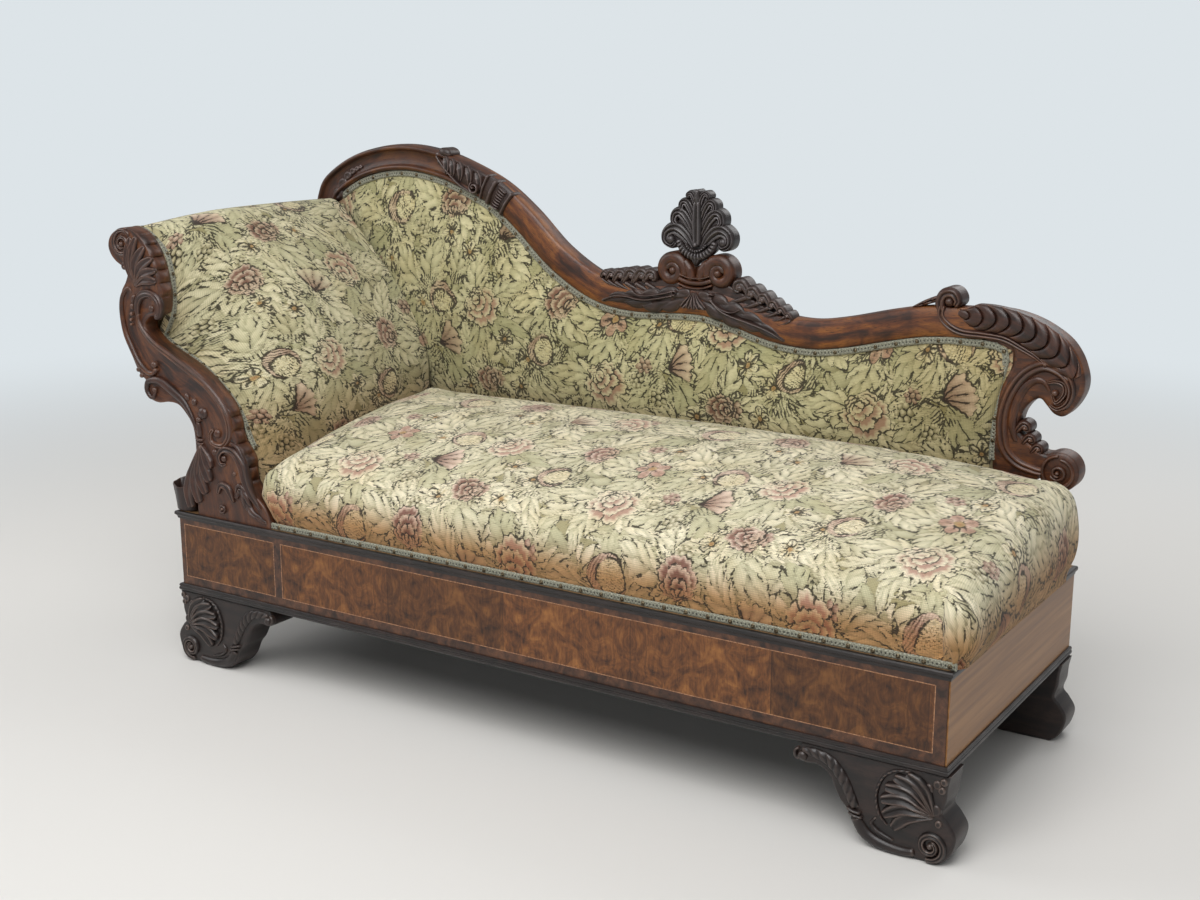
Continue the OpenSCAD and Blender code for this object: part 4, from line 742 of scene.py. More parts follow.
def rose(x, y, size, bend, lobes, light, dark):
    """Cabbage rose: rings of petals with ruffled rims, pale at the rim and dark behind it."""
    radius, _ = size
    colour = np.broadcast_to(dark, (len(x), 3)).copy()
    line = np.full(len(x), 99.0)
    edge = None
    for ring, (share, petals) in enumerate([(1.0, 7), (0.72, 5), (0.46, 4), (0.24, 2)]):
        shift = radius * 0.13 * ring
        px, py = x - shift * math.cos(bend * 2), (y - shift * math.sin(bend * 2)) * 1.12
        r, a = np.hypot(px, py), np.arctan2(py, px)
        wave = np.abs(np.cos(petals * a / 2 + ring * 1.9 + bend))
        rim = radius * share * (0.78 + 0.18 * wave**0.6 + 0.04 * np.sin(19 * a + 3 * ring))
        gap = r - rim
        if edge is None:
            edge = gap
        depth = np.clip(-gap / (radius * 0.26), 0, 1)
        shade = tone(light, dark, depth**1.6 * 1.15 + 0.1 * (1 - wave))
        colour = np.where((gap < 0)[:, None], shade, colour)
        line = np.where(gap < 0, np.minimum(-gap + (0.1 if ring else 0), wave * r * 1.6 / petals + 0.2 + 9
                                            * (depth > 0.75)), np.minimum(line, gap + 0.1))
    return edge, colour, line


def pomegranate(x, y, size, bend, lobes, light, dark):
    """Split fruit: an outer shell round one side of a pale heart of seeds."""
    length, width = size
    taper = width * (1 - 0.22 * (2 * x / length - 1))
    edge = (np.sqrt((2 * x / length - 1) ** 2 + (y / np.maximum(taper, 1)) ** 2) - 1) * width
    heart = (np.sqrt(((x - length * 0.54) / (length * 0.4)) ** 2 + ((y + width * 0.2) / (width * 0.72)) ** 2)
             - 1) * width * 0.6
    rim = np.abs(np.sin(np.arctan2(y + width * 0.2, x - length * 0.54) * 8)) * 3 + np.maximum(-heart - 3, 0)
    ribs = np.abs(y / 5.2 - np.round(y / 5.2)) * 5.2 + 0.5
    seeds = np.hypot(np.mod(x, 5.2) - 2.6, np.mod(y + 2.6 * np.round(x / 5.2), 5.2) - 2.6)
    pale = tone(light, CREAM, seeds / 3.4 + 0.3 * (1 - x / length))
    colour = np.where((heart < 0)[:, None], pale, tone(dark, ROSE, ribs / 3 + 0.25 * np.sin(x / 9)))
    line = np.minimum(np.abs(heart) + 0.1, np.where(heart < 0, np.minimum(seeds + 0.15, rim + 0.6), ribs + 0.4))
    return edge, colour, line


def fan(x, y, size, bend, lobes, light, dark):
    """Half-open flower: soft ribs spread from a dark foot to a pale ragged rim."""
    length, spread = size
    r, a = np.hypot(x, y), np.arctan2(y, x)
    ribs = np.abs(np.sin(a * lobes * 1.6 + bend))
    edge = np.maximum(r - length * (0.86 + 0.09 * ribs + 0.03 * np.sin(23 * a)), (np.abs(a) - spread) * r * 0.8)
    line = ribs * r / lobes * 0.7 + 0.15 + np.maximum(r - length * 0.74, 0)
    return edge, tone(dark, light, (r / length) ** 1.5 * 1.0 + 0.35 * ribs - 0.16), line


def berries(x, y, size, bend, lobes, light, dark):
    """Cluster: circles on a triangular lattice, cut to an oval."""
    pitch, reach = size
    row = np.round(y / (pitch * 0.87))
    shift = np.where(np.mod(row, 2) == 1, pitch / 2, 0)
    cx, cy = np.round((x - shift) / pitch) * pitch + shift, row * pitch * 0.87
    inside = np.hypot(cx * 0.85, cy) < reach
    ball = np.hypot(x - cx, y - cy)
    edge = np.where(inside, ball - pitch * 0.56, ball)
    lit = np.hypot(x - cx + pitch * 0.14, y - cy - pitch * 0.14)
    return edge, tone(light, dark, lit / pitch * 1.5), np.full(len(x), 99.0)


def blossom(x, y, size, bend, lobes, light, dark):
    """Open flower: pointed petals about a dotted eye."""
    radius, _ = size
    r, a = np.hypot(x, y), np.arctan2(y, x)
    petal = np.abs(np.cos(lobes * a / 2 + bend))
    edge = r - radius * (0.5 + 0.5 * petal**0.8)
    eye = r - radius * 0.24
    line = np.minimum(np.abs(eye), np.where(eye > 0, np.minimum(petal, 1.15 - petal) * r * 2 / lobes + 0.3, 99))
    colour = np.where((eye < 0)[:, None], tone(RUST, STRAW, r / radius * 3),
                      tone(dark, light, petal * 0.8 + r / radius * 0.5))
    return edge, colour, line


# %% Layout of one repeat
TILE = (580.0, 470.0)


def motif_list(seed=5):
    """The motifs of one repeat, back to front: large leaves fill the ground, sprays of acanthus
    spread from each flower, and the flowers lie on top. Places come from a jittered lattice."""
    rng = np.random.default_rng(seed)
    flowers = [
        (rose, (86, 92), (50, 0), PINK, CREAM), (pomegranate, (262, 70), (78, 36), STRAW, MAROON),
        (rose, (420, 120), (40, 0), MAROON, ROSE), (fan, (548, 48), (66, 0.85), MAROON * 1.2, CREAM * 0.95),
        (pomegranate, (70, 262), (66, 30), STRAW, MAROON), (rose, (246, 236), (54, 0), PINK * 0.9, CREAM),
        (fan, (392, 282), (66, 0.8), MAROON, ROSE), (rose, (520, 214), (36, 0), MAROON, ROSE),
        (rose, (122, 396), (38, 0), MAROON * 1.1, ROSE), (blossom, (250, 366), (34, 0), ROSE, PINK),
        (pomegranate, (372, 392), (70, 32), STRAW, MAROON * 1.1), (rose, (512, 372), (50, 0), PINK, CREAM)]
    made = []
    for columns, rows, long, wide in ((8, 7, (110, 150), (38, 50)), (6, 5, (110, 150), (34, 46)),
                                      (7, 6, (80, 115), (25, 34))):
        for i in range(columns):
            for j in range(rows):
                place = ((i + rng.uniform(0.1, 0.9)) * TILE[0] / columns, (j + rng.uniform(0.1, 0.9)) * TILE[1]
                         / rows)
                light = tone(CREAM, SAGE, rng.random(1))[0]
                made.append((acanthus, place, rng.uniform(0, 360), (rng.uniform(*long), rng.uniform(*wide)),
                             rng.uniform(-0.35, 0.35), int(rng.integers(3, 5)), light,
                             tone(SAGE * 0.9, OLIVE, rng.random(1))[0]))
    for maker, place, size, ink, pale in flowers:
        first = rng.uniform(0, 360)
        for k in range(5):
            turn = first + k * 72 + rng.uniform(-18, 18)
            start = (place[0] + 14 * math.cos(math.radians(turn)), place[1] + 14 * math.sin(math.radians(turn)))
            shade = tone(CREAM * 1.03, SAGE * 1.05, rng.random(1) ** 1.5)[0]
            made.append((acanthus, start, turn, (rng.uniform(92, 132), rng.uniform(28, 40)), rng.choice([-1, 1])
                         * rng.uniform(0.15, 0.45), int(rng.integers(4, 6)), shade, SAGE * 0.82))
    for maker, size, count, light, dark in ((berries, (12.5, 19), 5, ROSE * 0.95, MAROON),
                                            (blossom, (24, 0), 8, CREAM, STRAW * 0.85),
                                            (berries, (12.0, 17), 5, CREAM, OLIVE)):
        for k in range(count):
            place = (rng.uniform(0, TILE[0]), rng.uniform(0, TILE[1]))
            made.append((maker, place, rng.uniform(0, 360), size, rng.uniform(0, 3), int(rng.integers(5, 7)),
                         light, dark))
    for maker, place, size, dark, light in flowers:
        light, dark = (dark, light) if maker is pomegranate else (light, dark)
        made.append((maker, place, rng.uniform(0, 360), size, rng.uniform(0, 3), 5, light, dark))
    return made


def painted(u, v):
    """Colour and ink distance of the tapestry at cloth coordinates u and v in millimetres. The
    points wander a little first, so that no figure is stiff. Each motif is laid where it falls,
    and again across the borders of the repeat."""
    u, v = u.ravel(), v.ravel()
    u, v = u + wavy(u, v, 95, 5) + wavy(v, u, 19, 1.5), v + wavy(v, -u, 88, 5) + wavy(u, -v, 17, 1.5)
    x, y = np.mod(u, TILE[0]), np.mod(v, TILE[1])
    colour = np.broadcast_to(GROUND, (len(x), 3)).copy()
    ink = np.full(len(x), 9.0)
    for maker, place, turn, size, bend, lobes, light, dark in motif_list():
        c, s = math.cos(math.radians(turn)), math.sin(math.radians(turn))
        reach = max(size) * 1.45 + 8
        for dx in (-TILE[0], 0, TILE[0]):
            for dy in (-TILE[1], 0, TILE[1]):
                cx, cy = place[0] + dx, place[1] + dy
                if not (-reach < cx < TILE[0] + reach and -reach < cy < TILE[1] + reach):
                    continue
                near = np.flatnonzero((np.abs(x - cx) < reach) & (np.abs(y - cy) < reach))
                if not len(near):
                    continue
                px, py = x[near] - cx, y[near] - cy
                edge, shade, line = maker(px * c + py * s, py * c - px * s, size, bend, lobes, light, dark)
                within = edge < 0
                ink[near] = np.where(within, np.minimum(-edge + 0.1, line), np.minimum(ink[near], edge))
                colour[near] = np.where(within[:, None], shade, colour[near])
    return colour, ink


# %% [markdown]
# The weave is drawn at 1.4 mm a thread, about twice life, so that it shows. Warp and weft
# ridges come from two waves, and each thread's tone varies a little; the grooves between threads
# are darkened with painted shade. The dark threads of the outline are broken up by noise of the
# same size.

# %% Tapestry material
THREADS = 1 / (1.4 * MM)


def woven(name, painted_cloth=True, plain=("#8f8a68", "#5d5942"), rib=12 * MM):
    """Tapestry cloth: colour and ink from the painted points, threads from the UV map in metres.
    A plain cloth has ribs instead, drawn about four times too wide so that they show, with painted
    shade in their grooves."""
    made = _, tree, _ = new_material(name, Roughness=0.92, Sheen_Weight=0.12, Sheen_Roughness=0.6,
                                     Specular_IOR_Level=0.18)
    uv = add(tree, "TexCoord", out="UV")
    grain = add(tree, "TexNoise", uv, THREADS * 0.5, 2.0, 0.6)
    streak = stretched_noise(tree, uv, (THREADS * 0.12, THREADS * 0.55, 1), 2.0, 0.6)
    patch = add(tree, "TexNoise", uv, 9.0, 3.0)
    warp, weft = (add(tree, "TexWave", uv, THREADS / 6.28, 0.6, 1.0, 3.0, bands_direction=way, out="Fac")
                  for way in "XY")
    weave = add(tree, "multiply", warp, weft)
    if painted_cloth:
        paint = add(tree, "Attribute", attribute_name="paint")
        ink = add(tree, "Attribute", attribute_name="ink", out="Fac")
        gaps = add(tree, "range", add(tree, "TexNoise", uv, 46.0, 2.0), 0.46, 0.62, 0.0, 1.2)
        broken = add(tree, "add", add(tree, "multiply_add", grain, 2.4, -1.2), gaps)
        line = add(tree, "range", add(tree, "add", ink, broken), 1.05, 2.0, 0.97, 0.0)
        shadow = add(tree, "multiply", add(tree, "range", ink, 0.0, 8.0, 0.55, 0.0),
                     add(tree, "range", streak, 0.46, 0.6))
        colour = add(tree, "mix", shadow, paint, "#5c5434")
        colour = add(tree, "mix", line, colour, add(tree, "mix", 0.1, "#19130d", colour))
        height, depth = weave, 0.35 * MM
    else:
        ribs = add(tree, "TexWave", uv, 0.314 / rib, 0.5, 1.0, 2.0, bands_direction="X", out="Fac")
        colour = add(tree, "mix", grain, *plain)
        # Painted shade: the troughs of the ribs darken towards the dark tone.
        colour = add(tree, "mix", add(tree, "range", ribs, 0.0, 0.6, 0.7, 0.0), colour, plain[1])
        height, depth = ribs, 1.5 * MM
    faded = add(tree, "ValToRGB", patch, stops=((0.35, "#d5ccb0"), (0.5, "#ffffff"), (0.66, "#e6dcc0")))
    colour = add(tree, "tint", 0.35, colour, faded)
    # Painted shade and highlight at the scale of the threads: darker where the weave dips between threads and
    # lighter on the crossings, times a random tone for each thread.
    level = add(tree, "multiply", add(tree, "range", weave, 0.0, 0.6, 0.8, 1.06),
                add(tree, "multiply_add", grain, 0.3, 0.86))
    colour = add(tree, "tint", 1.0, colour, level)
    return surfaced(made, colour, add(tree, "Bump", Height=height, Strength=0.5, Distance=depth))


tapestry = woven("woven_tapestry")
print("motifs in a repeat:", len(motif_list()))

# %% [markdown]
# ## Padding
#
# Each cushion starts as a coarse grid in the space of its solid. A short cloth simulation with
# air pressure inside swells it between its tacked edges, as hair stuffing does. The swollen grid
# is then read at many more points, and painted.

# %% Padding helpers
SPACING = 2.2 * MM


def swollen(grid, pinned, pressure=3.0, cap=9 * MM, frames=18):
    """The grid (n, m, 3) after a cloth simulation with its pinned points held still. No
    point moves further than the cap."""
    mesh = bpy.data.meshes.new("cloth_try")
    mesh.from_pydata(grid.reshape(-1, 3).tolist(), [], grid_quads(*grid.shape[:2], wrap=False)[0].tolist())
    obj = placed("cloth_try", mesh)
    obj.vertex_groups.new(name="held").add(np.flatnonzero(pinned.ravel()).tolist(), 1.0, "REPLACE")
    cloth = obj.modifiers.new("cloth", "CLOTH").settings
    cloth.vertex_group_mass = "held"
    cloth.use_pressure = True
    cloth.uniform_pressure_force = pressure
    cloth.tension_stiffness = cloth.compression_stiffness = 25
    cloth.shear_stiffness = 10
    cloth.bending_stiffness = 2
    cloth.effector_weights.gravity = 0
    scene = bpy.context.scene
    for number in range(1, frames + 1):
        scene.frame_set(number)
    shaped = obj.evaluated_get(bpy.context.evaluated_depsgraph_get()).to_mesh()
    step = taken(shaped.vertices, "co").reshape(grid.shape) - grid
    scene.frame_set(1)
    bpy.data.objects.remove(obj)
    far = np.linalg.norm(step, axis=2, keepdims=True)
    print("swelled up to", round(float(np.minimum(far, cap).max()) * 1000, 1), "mm")
    return grid + step * np.minimum(1, cap / np.maximum(far, 1e-9))


def finer(grid, n, m):
    """The grid read at n by m points: a cubic through the four nearest rows, and the same across
    the columns."""
    for axis, count in ((0, n), (1, m)):
        grid = np.moveaxis(grid, axis, 0)
        last = len(grid) - 1
        at = np.linspace(0, last, count)
        k = np.minimum(at.astype(int), last - 1)
        t = (at - k).reshape((-1,) + (1,) * (grid.ndim - 1))
        grid = np.moveaxis(cubic(*(grid[np.clip(k + q, 0, last)] for q in (-1, 0, 1, 2)), t), 0, axis)
    return grid


def padded_piece(name, grid, cloth, node, darkening_map, tint, ink_by=0.0, tuck=None, behind=None):
    """A closed padded form from a face grid (n, m, 3). Its back is ruled straight between the two
    long edges, which are first folded in by the vectors of tuck (n, 3). Where behind is given, the
    back is flat at that depth and follows every twentieth column of the face. Cloth gives each
    point's place on the tapestry in metres. The darkening map gives how far each point is darkened
    towards brown, which on the back pad is painted shade. Tint is a colour that the paint is
    multiplied by: dye colour, and on the head and back pads painted shade as well. ink_by thickens
    the drawing, in millimetres."""
    if tuck is not None:
        fold = np.array([0, 12 * MM])
        grid = np.concatenate([grid[:, :1] + tuck[:, None], grid, grid[:, -1:] + tuck[:, None]], 1)
        cloth = np.concatenate([cloth[:, :1] - fold, cloth, cloth[:, -1:] + fold], 1)
        darkening_map = np.concatenate([darkening_map[:, :1], darkening_map, darkening_map[:, -1:]], 1)
    n, m, _ = grid.shape
    kept = slice(0, 0) if behind is None else slice(10, -10, 20)
    inner = grid[:, kept].copy()
    inner[..., 1] = behind
    k = inner.shape[1]
    ids = np.column_stack([np.arange(n) * m, n * m + np.arange(n * k).reshape(n, k), np.arange(n) * m + m - 1])
    back = np.roll(ids.ravel()[grid_quads(n, k + 2, False)[0]][:, ::-1], 1, 1)
    column = np.arange(m)
    ends = np.stack([np.append(column, ids[0, 1:-1][::-1]), np.append((n - 1) * m + column[::-1], ids[-1, 1:-1])])
    faces = [np.vstack([grid_quads(n, m, False)[0], back]), ends]
    points, flat, darkening_amount = (np.vstack([q.reshape(-1, q.shape[-1]), r.reshape(-1, q.shape[-1])]) for q, r in (
        (grid, inner), (cloth, cloth[:, kept]), (darkening_map[..., None], darkening_map[:, kept][..., None])))
    uv = np.vstack([flat[f].reshape(-1, 2) for f in faces])
    piece = new_mesh(name, points, faces, uv, tapestry)
    colour, ink = painted(flat[:, 0] / MM, flat[:, 1] / MM)
    # Darkening towards brown #7c5629 by the darkening map: painted shade on the back pad, and a darker tone low on
    # the seat and head pad.
    colour = colour * tint * (1 - darkening_amount + (0.16 + 2.0 * np.array(rgb("#7c5629")[:3])) * darkening_amount)
    layer = piece.data.color_attributes.new("paint", "FLOAT_COLOR", "POINT")
    layer.data.foreach_set("color", np.column_stack([colour, np.ones(len(colour))]).astype(np.float32).ravel())
    ink = (ink - ink_by).astype(np.float32)
    piece.data.attributes.new("ink", "FLOAT", "POINT").data.foreach_set("value", ink)
    carried(piece, node)


# %% [markdown]
# ### Seat
#
# A sprung seat is a dome: high in the middle, low at the shoulders, with sides that swell over the
# braid and tuck in at the rail. The grid's middle covers the top. Its outer rows run round the
# rounded shoulder and down the sides, and at the corners they fan out.

# %% Seat cushion
seat_low, seat_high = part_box("seat_cushion")
SEAT_ROUND = 30 * MM
SEAT_TOP_CELLS = (78, 30)
SEAT_SIDE_CELLS = 12
# Shoulder section from the top's edge outward: shares of the rounding outward, and of the height
SHOULDER_SHARES = ("0 1, .34 .985, .66 .93, .88 .84, 1 .72, 1.07 .58, 1.1 .44, 1.06 .3, .95 .18, .78 .09,"
                   " .66 .03, .66 0")


def seat_rise(u, v):
    """Height of the seat over the base: the front shoulder, plus a crown that grows as the sine of
    the depth and dies away towards the foot end."""
    end = np.clip((u - 0.74) / 0.26, 0, 1) ** 2
    crown = np.sin(np.pi / 2 * np.clip(v, 0, 1) ** 0.8)
    return 116 * MM + 90 * MM * crown * (1 - 0.2 * end) * (0.92 + 0.08 * np.sin(np.pi * u))


BOARD_FOOT_SHARES = pts("0 1.02, .03 1, .075 .95, .13 .84, .2 .79")


def seat_left(y, z):
    """Left edge of the seat. In front it steps round the foot of the board, which narrows upward."""
    foot = BASE_X0 + HEAD_REACH * np.interp((z - BASE_TOP) / HEAD_RISE, *BOARD_FOOT_SHARES.T) + 4 * PLAY
    step = ease((BOARD_Y1 + 26 * MM - y) / (26 * MM))
    return seat_low.x + (np.maximum(seat_low.x, foot) - seat_low.x) * step


def seat_grid():
    """Points of the seat and their places on the cloth. Outside the top's rectangle the level is
    the larger of the two steps away from it, and the direction turns through the corner."""
    (nx, ny), k = SEAT_TOP_CELLS, SEAT_SIDE_CELLS
    i, j = np.meshgrid(np.arange(nx + 2 * k + 1) - k, np.arange(ny + 2 * k + 1) - k, indexing="ij")
    ci, cj = np.clip(i, 0, nx), np.clip(j, 0, ny)
    di, dj = (i - ci).astype(float), (j - cj).astype(float)
    level = np.maximum(np.abs(di), np.abs(dj))
    turn = np.arctan2(dj, di)
    u, v = ci / nx, cj / ny
    shares = smooth(SHOULDER_SHARES, 4)
    at = level / k * (len(shares) - 1)
    out, drop = np.moveaxis(read_at(at, np.arange(len(shares)), shares), -1, 0)
    rise = seat_rise(u, v)
    z = BASE_TOP + 2.4 * MM + (rise - 2.4 * MM) * drop
    y = seat_low.y + SEAT_ROUND * 1.08 + v * (seat_high.y - seat_low.y - SEAT_ROUND * 1.9)
    left = seat_left(y, z) + SEAT_ROUND * (0.84 - 0.3 * ease((0.14 - v) / 0.14))
    x = left + u * (seat_high.x - SEAT_ROUND * 1.08 - left)
    reach = SEAT_ROUND * out * (1 + 0.8 * ease((u - 0.9) / 0.1) * np.maximum(np.cos(turn), 0))
    travel = level / k * (rise + SEAT_ROUND * 0.5)
    points = np.stack([x + reach * np.cos(turn), y + reach * np.sin(turn), z], -1)
    return points, np.stack([x + travel * np.cos(turn), y + travel * np.sin(turn)], -1), level / k


seat_points, seat_cloth, seat_level = seat_grid()
seat_points = swollen(seat_points, seat_level > 0.93, cap=8 * MM)
seat_cells = (round((seat_high.x - seat_low.x + 0.24) / SPACING),
              round((seat_high.y - seat_low.y + 0.24) / SPACING))
seat_fine = finer(seat_points, *seat_cells)
seat_on_cloth = finer(seat_cloth, *seat_cells)
# The seat darkens towards brown down its shoulders and sides.
seat_side_darkening = ease((finer(seat_level[..., None], *seat_cells)[..., 0] - 0.24) / 0.42)
padded_piece("seat_cover", seat_fine, seat_on_cloth, "seat_cushion", seat_side_darkening, (1.03, 1.0, 1.0))

# %% [markdown]
# ### Head end and back
#
# The head pad is a roll that falls to the seat. Its front edge follows the carved board, and a
# little way in it swells to its full crown. The back pad's columns lean from its bottom line to the
# crest, and its face swells between the braids.

# %% Head pad
PAD_FRONT_SHARES = ("-.74 .875, -.85 .925, -.81 .972, -.66 .979, -.476 .958, -.25 .906, -.17 .844, -.15 .783,"
                    " -.17 .71, -.26 .662, -.37 .605, -.152 .554, .099 .513, .238 .472, .376 .422, .507 .366,"
                    " .6 .311, .68 .259, .74 .2, .78 .1, .8 .01")
PAD_MIDDLE_SHARES = ("-.74 .842, -.87 .895, -.82 .95, -.6 .988, -.35 .999, -.116 .997, .043 .962, .252 .858,"
                     " .461 .741, .617 .643, .77 .516, .869 .415, .908 .326, .91 .19, .91 .01")
# Crown of the pad at shares of its width, from the carved board to the back
CROWN_SHARES = pts("0 0, .026 0, .052 .2, .11 .48, .18 .72, .28 .9, .42 1, 1 1")
HEAD_Y0, HEAD_Y1 = board_high.y + PLAY, seat_high.y + PLAY
PAD_EDGE_Y = CREST_Y0 + GIMP_T
BACK_CROWN = 36 * MM
PROUD = pts("0 8, .46 8, .53 15, .58 19, .64 23, .7 25, .75 23, .79 17, .83 10, .88 8, 1 8")


def raised(line, share=1.0):
    """A pad line moved outward by the stuffing's height over it, read at each point's place."""
    at = np.linspace(0, 1, len(line))[:, None]
    return line + left_of(line) * np.interp(at, *PROUD.T) * share * MM


pad_front = even(raised(smooth(head_points(PAD_FRONT_SHARES))), 64)
pad_middle = smooth(head_points(PAD_MIDDLE_SHARES, PAD_RISE))
pad_middle = even(raised(pad_middle) - left_of(pad_middle) * PROUD[0, 1] * MM, 64)


def head_grid(rows=64, columns=34):
    """Points of the head pad and their places on the cloth."""
    q = np.linspace(0, 1, columns)
    q = (q - 0.1 * np.sin(2 * np.pi * q) / 1.2)[None, :, None]
    crown = np.interp(q, *smooth(CROWN_SHARES, 6).T)
    section = pad_front[:, None] * (1 - crown) + pad_middle[:, None] * crown
    end = HEAD_Y1 + (CREST_Y0 - PLAY - HEAD_Y1) * ease((head_x(-0.1) - pad_middle[:, :1]) / (HEAD_OVER * 0.4))
    y = HEAD_Y0 + q[..., 0] * (end - HEAD_Y0)
    along = arc_lengths(pad_middle)[:, None] + 0 * y
    return upright(section, y), np.stack([y, -along], -1), np.broadcast_to(q[..., 0], y.shape)


head_coarse, head_cloth, head_q = head_grid()
edge = (np.arange(64)[:, None] < 2) | (np.arange(64)[:, None] > 60) | (head_q < 0.06) | (head_q > 0.97)
head_coarse = swollen(head_coarse, edge, cap=7 * MM)
head_cells = (round(arc_lengths(pad_middle)[-1] / SPACING), round((HEAD_Y1 - HEAD_Y0) / SPACING))
# The head pad darkens towards brown near its bottom and at its front edge by the board. Its tint, darker and
# yellower than the seat's, is partly painted shade and partly a less bleached dye.
head_drop = ease((BASE_TOP + 0.3 - finer(head_coarse, *head_cells)[..., 2]) / 0.16)
head_darkening = np.maximum(ease((finer(head_q[..., None], *head_cells)[..., 0] * -12) + 1) * 0.3, head_drop * 0.7)
head_in = upright(-left_of(even(pad_front, head_cells[0])) * 16 * MM, 0)
padded_piece("head_cover", finer(head_coarse, *head_cells), finer(head_cloth, *head_cells), "head_pad",
             head_darkening, (0.84, 0.82, 0.74), 0.25, head_in)

# %% Back pad
pad_low_left = np.array([head_x(0.91), BASE_TOP + 107 * MM])
pad_low_right = np.array([post_low.x - 3 * MM, BASE_TOP + 107 * MM])
pad_high_right = scroll_points(".67 .79")[0] - (9 * PLAY, 0)
pad_top = np.vstack([head_points("-.14 .947"), beside(crest_line, [-CREST_W / 2 - 5 * PLAY])[2:],
                     scroll_points(".8 .868, .69 .85") - (0, 9 * PLAY), pad_high_right[None]])


def back_grid(columns=84, rows=26):
    """Points of the back pad and their places on the cloth. The last stretch of each column is
    flat, as wide as the braid that lies on it."""
    run = arc_lengths(pad_top)
    step = np.linspace(0, 1, columns)
    step = 0.55 * step + 0.45 * (1 - (1 - step) ** 2)
    top = read_at(step * run[-1], run, pad_top)
    u = step[:, None]
    low = pad_low_left * (1 - u) + pad_low_right * u
    column = top - low
    length = np.linalg.norm(column, axis=1)[:, None]
    edge_way = unit(np.gradient(top, axis=0))
    slant = np.abs(column[:, 0] * edge_way[:, 1] - column[:, 1] * edge_way[:, 0])[:, None] / length
    flat = (GIMP_W + 3.6 * MM) / length / np.maximum(slant, 0.35)
    t = np.concatenate([np.linspace(0, 1, rows - 2), [1 + 0.5, 2.0]])[None, :]
    level = np.where(t <= 1, t * (1 - flat), 1 - flat + (t - 1) * flat)
    t = np.minimum(t, 1)
    crown = (1 - np.abs(2 * t - 1) ** 3) * (1 - np.abs(2 * u - 1) ** 12)
    x = low[:, :1] + column[:, :1] * level - SCROLL_W * 0.1 * np.sin(np.pi * level) * u**10
    z = low[:, 1:] + column[:, 1:] * level
    y = PAD_EDGE_Y - BACK_CROWN * crown
    return np.stack([x, y, z], -1), np.stack([x + 0.31, z + 0.13], -1), crown


back_coarse, back_cloth, back_crown = back_grid()
back_coarse = swollen(back_coarse, back_crown < 0.02, cap=6 * MM)
back_cells = (round(arc_lengths(pad_top)[-1] / SPACING), 190)
back_fine = finer(back_coarse, *back_cells)
# Painted shade: the back pad darkens towards brown near its bottom, where it meets the seat, and a little towards
# the foot end. Its tint is darker and yellower than the seat's: painted shade, with a less bleached dye.
back_darkening = np.maximum(ease((BASE_TOP + 0.24 - back_fine[..., 2]) / 0.1) * 0.6,
                       ease((back_fine[..., 0] - 0.3) / 0.4) * 0.24)
padded_piece("back_cover", back_fine, finer(back_cloth, *back_cells), "back_pad", back_darkening,
             (0.72, 0.7, 0.56), 0.35, behind=PAD_EDGE_Y + 1 * MM)

# %% [markdown]
# ## Braid
#
# A flat gimp of grey-green silk hides the tacks. Its two plaits cross every 7 mm, and its edges
# are scalloped with them.

# %% Braid
made = silk_braid, tree, _ = new_material("silk_braid", Roughness=0.7, Sheen_Weight=0.25)
strand = stretched_noise(tree, add(tree, "TexCoord", out="UV"), (260, 900, 1), 3.0, 0.6)
colour = add(tree, "ValToRGB", strand, stops=((0.3, "#46453b"), (0.5, "#7b7a69"), (0.68, "#b2b2a0")))
# Painted shade: the braid's hollows, read from the relief attribute, darken towards #1f1d17.
darkening_amount = add(tree, "range", add(tree, "Attribute", attribute_name="wear_and_relief_light", out="Fac"), 0.05, -0.6, 0.0, 0.9)
surfaced(made, add(tree, "mix", darkening_amount, colour, "#1f1d17"),
         add(tree, "Bump", Height=strand, Strength=0.5, Distance=0.4 * MM))


def braid(spine, side, out):
    """A plaited strip along a spine in space: its height is the larger of two slanting waves."""
    run = arc_lengths(spine)
    at = np.linspace(0, run[-1], int(run[-1] / (1.1 * MM)))
    spine, side, out = (read_at(at, run, np.broadcast_to(v, spine.shape)) for v in (spine, side, out))
    s = np.linspace(-1, 1, 13)[None, :]
    phase = at[:, None] / (7 * MM)
    plait = np.abs(np.sin(np.pi * (phase + 0.55 * s)))
    plait = np.maximum(plait, np.abs(np.sin(np.pi * (phase - 0.55 * s))))
    height = GIMP_T * (0.28 + 0.8 * plait**1.5) * (1 - np.abs(s) ** 6) + 0.2 * MM
    half = GIMP_W / 2 * (0.95 + 0.09 * np.abs(np.sin(np.pi * phase)))
    flat = spine[:, None] + side[:, None] * (half * s)[..., None]
    front = flat + out[:, None] * height[..., None]
    return skin(np.concatenate([front, flat[:, [-1, 0]] - out[:, None] * 0.4 * MM], 1))


UP, FORWARD, RIGHT = (0, 0, 1), (0, -1, 0), (1, 0, 0)
gimp_low, gimp_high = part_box("seat_gimp")
middle = (gimp_low.z + gimp_high.z) / 2
front_run = np.array([(x, gimp_low.y + GIMP_T, middle) for x in (gimp_low.x, gimp_high.x)])
end_run = np.array([(gimp_high.x - GIMP_T, y, middle) for y in (gimp_low.y, gimp_high.y)])
build("seat_braid", [braid(front_run, UP, FORWARD), braid(end_run, UP, RIGHT)], silk_braid, "seat_gimp")

back_row = np.vstack([
    beside(crest_line, [-CREST_W / 2 - GIMP_W / 2 - 1 * MM])[9:-3],
    scroll_points(".86 .85, .77 .84, .72 .8, .74 .75, .82 .67, .86 .57, .855 .47, .83 .41")])
back_row = smooth(back_row[::3], 4)
back_spine = upright(back_row, CREST_Y0 + 1.2 * MM)
build("back_braid", [braid(back_spine, upright(left_of(back_row), 0), FORWARD)], silk_braid, "back_gimp")

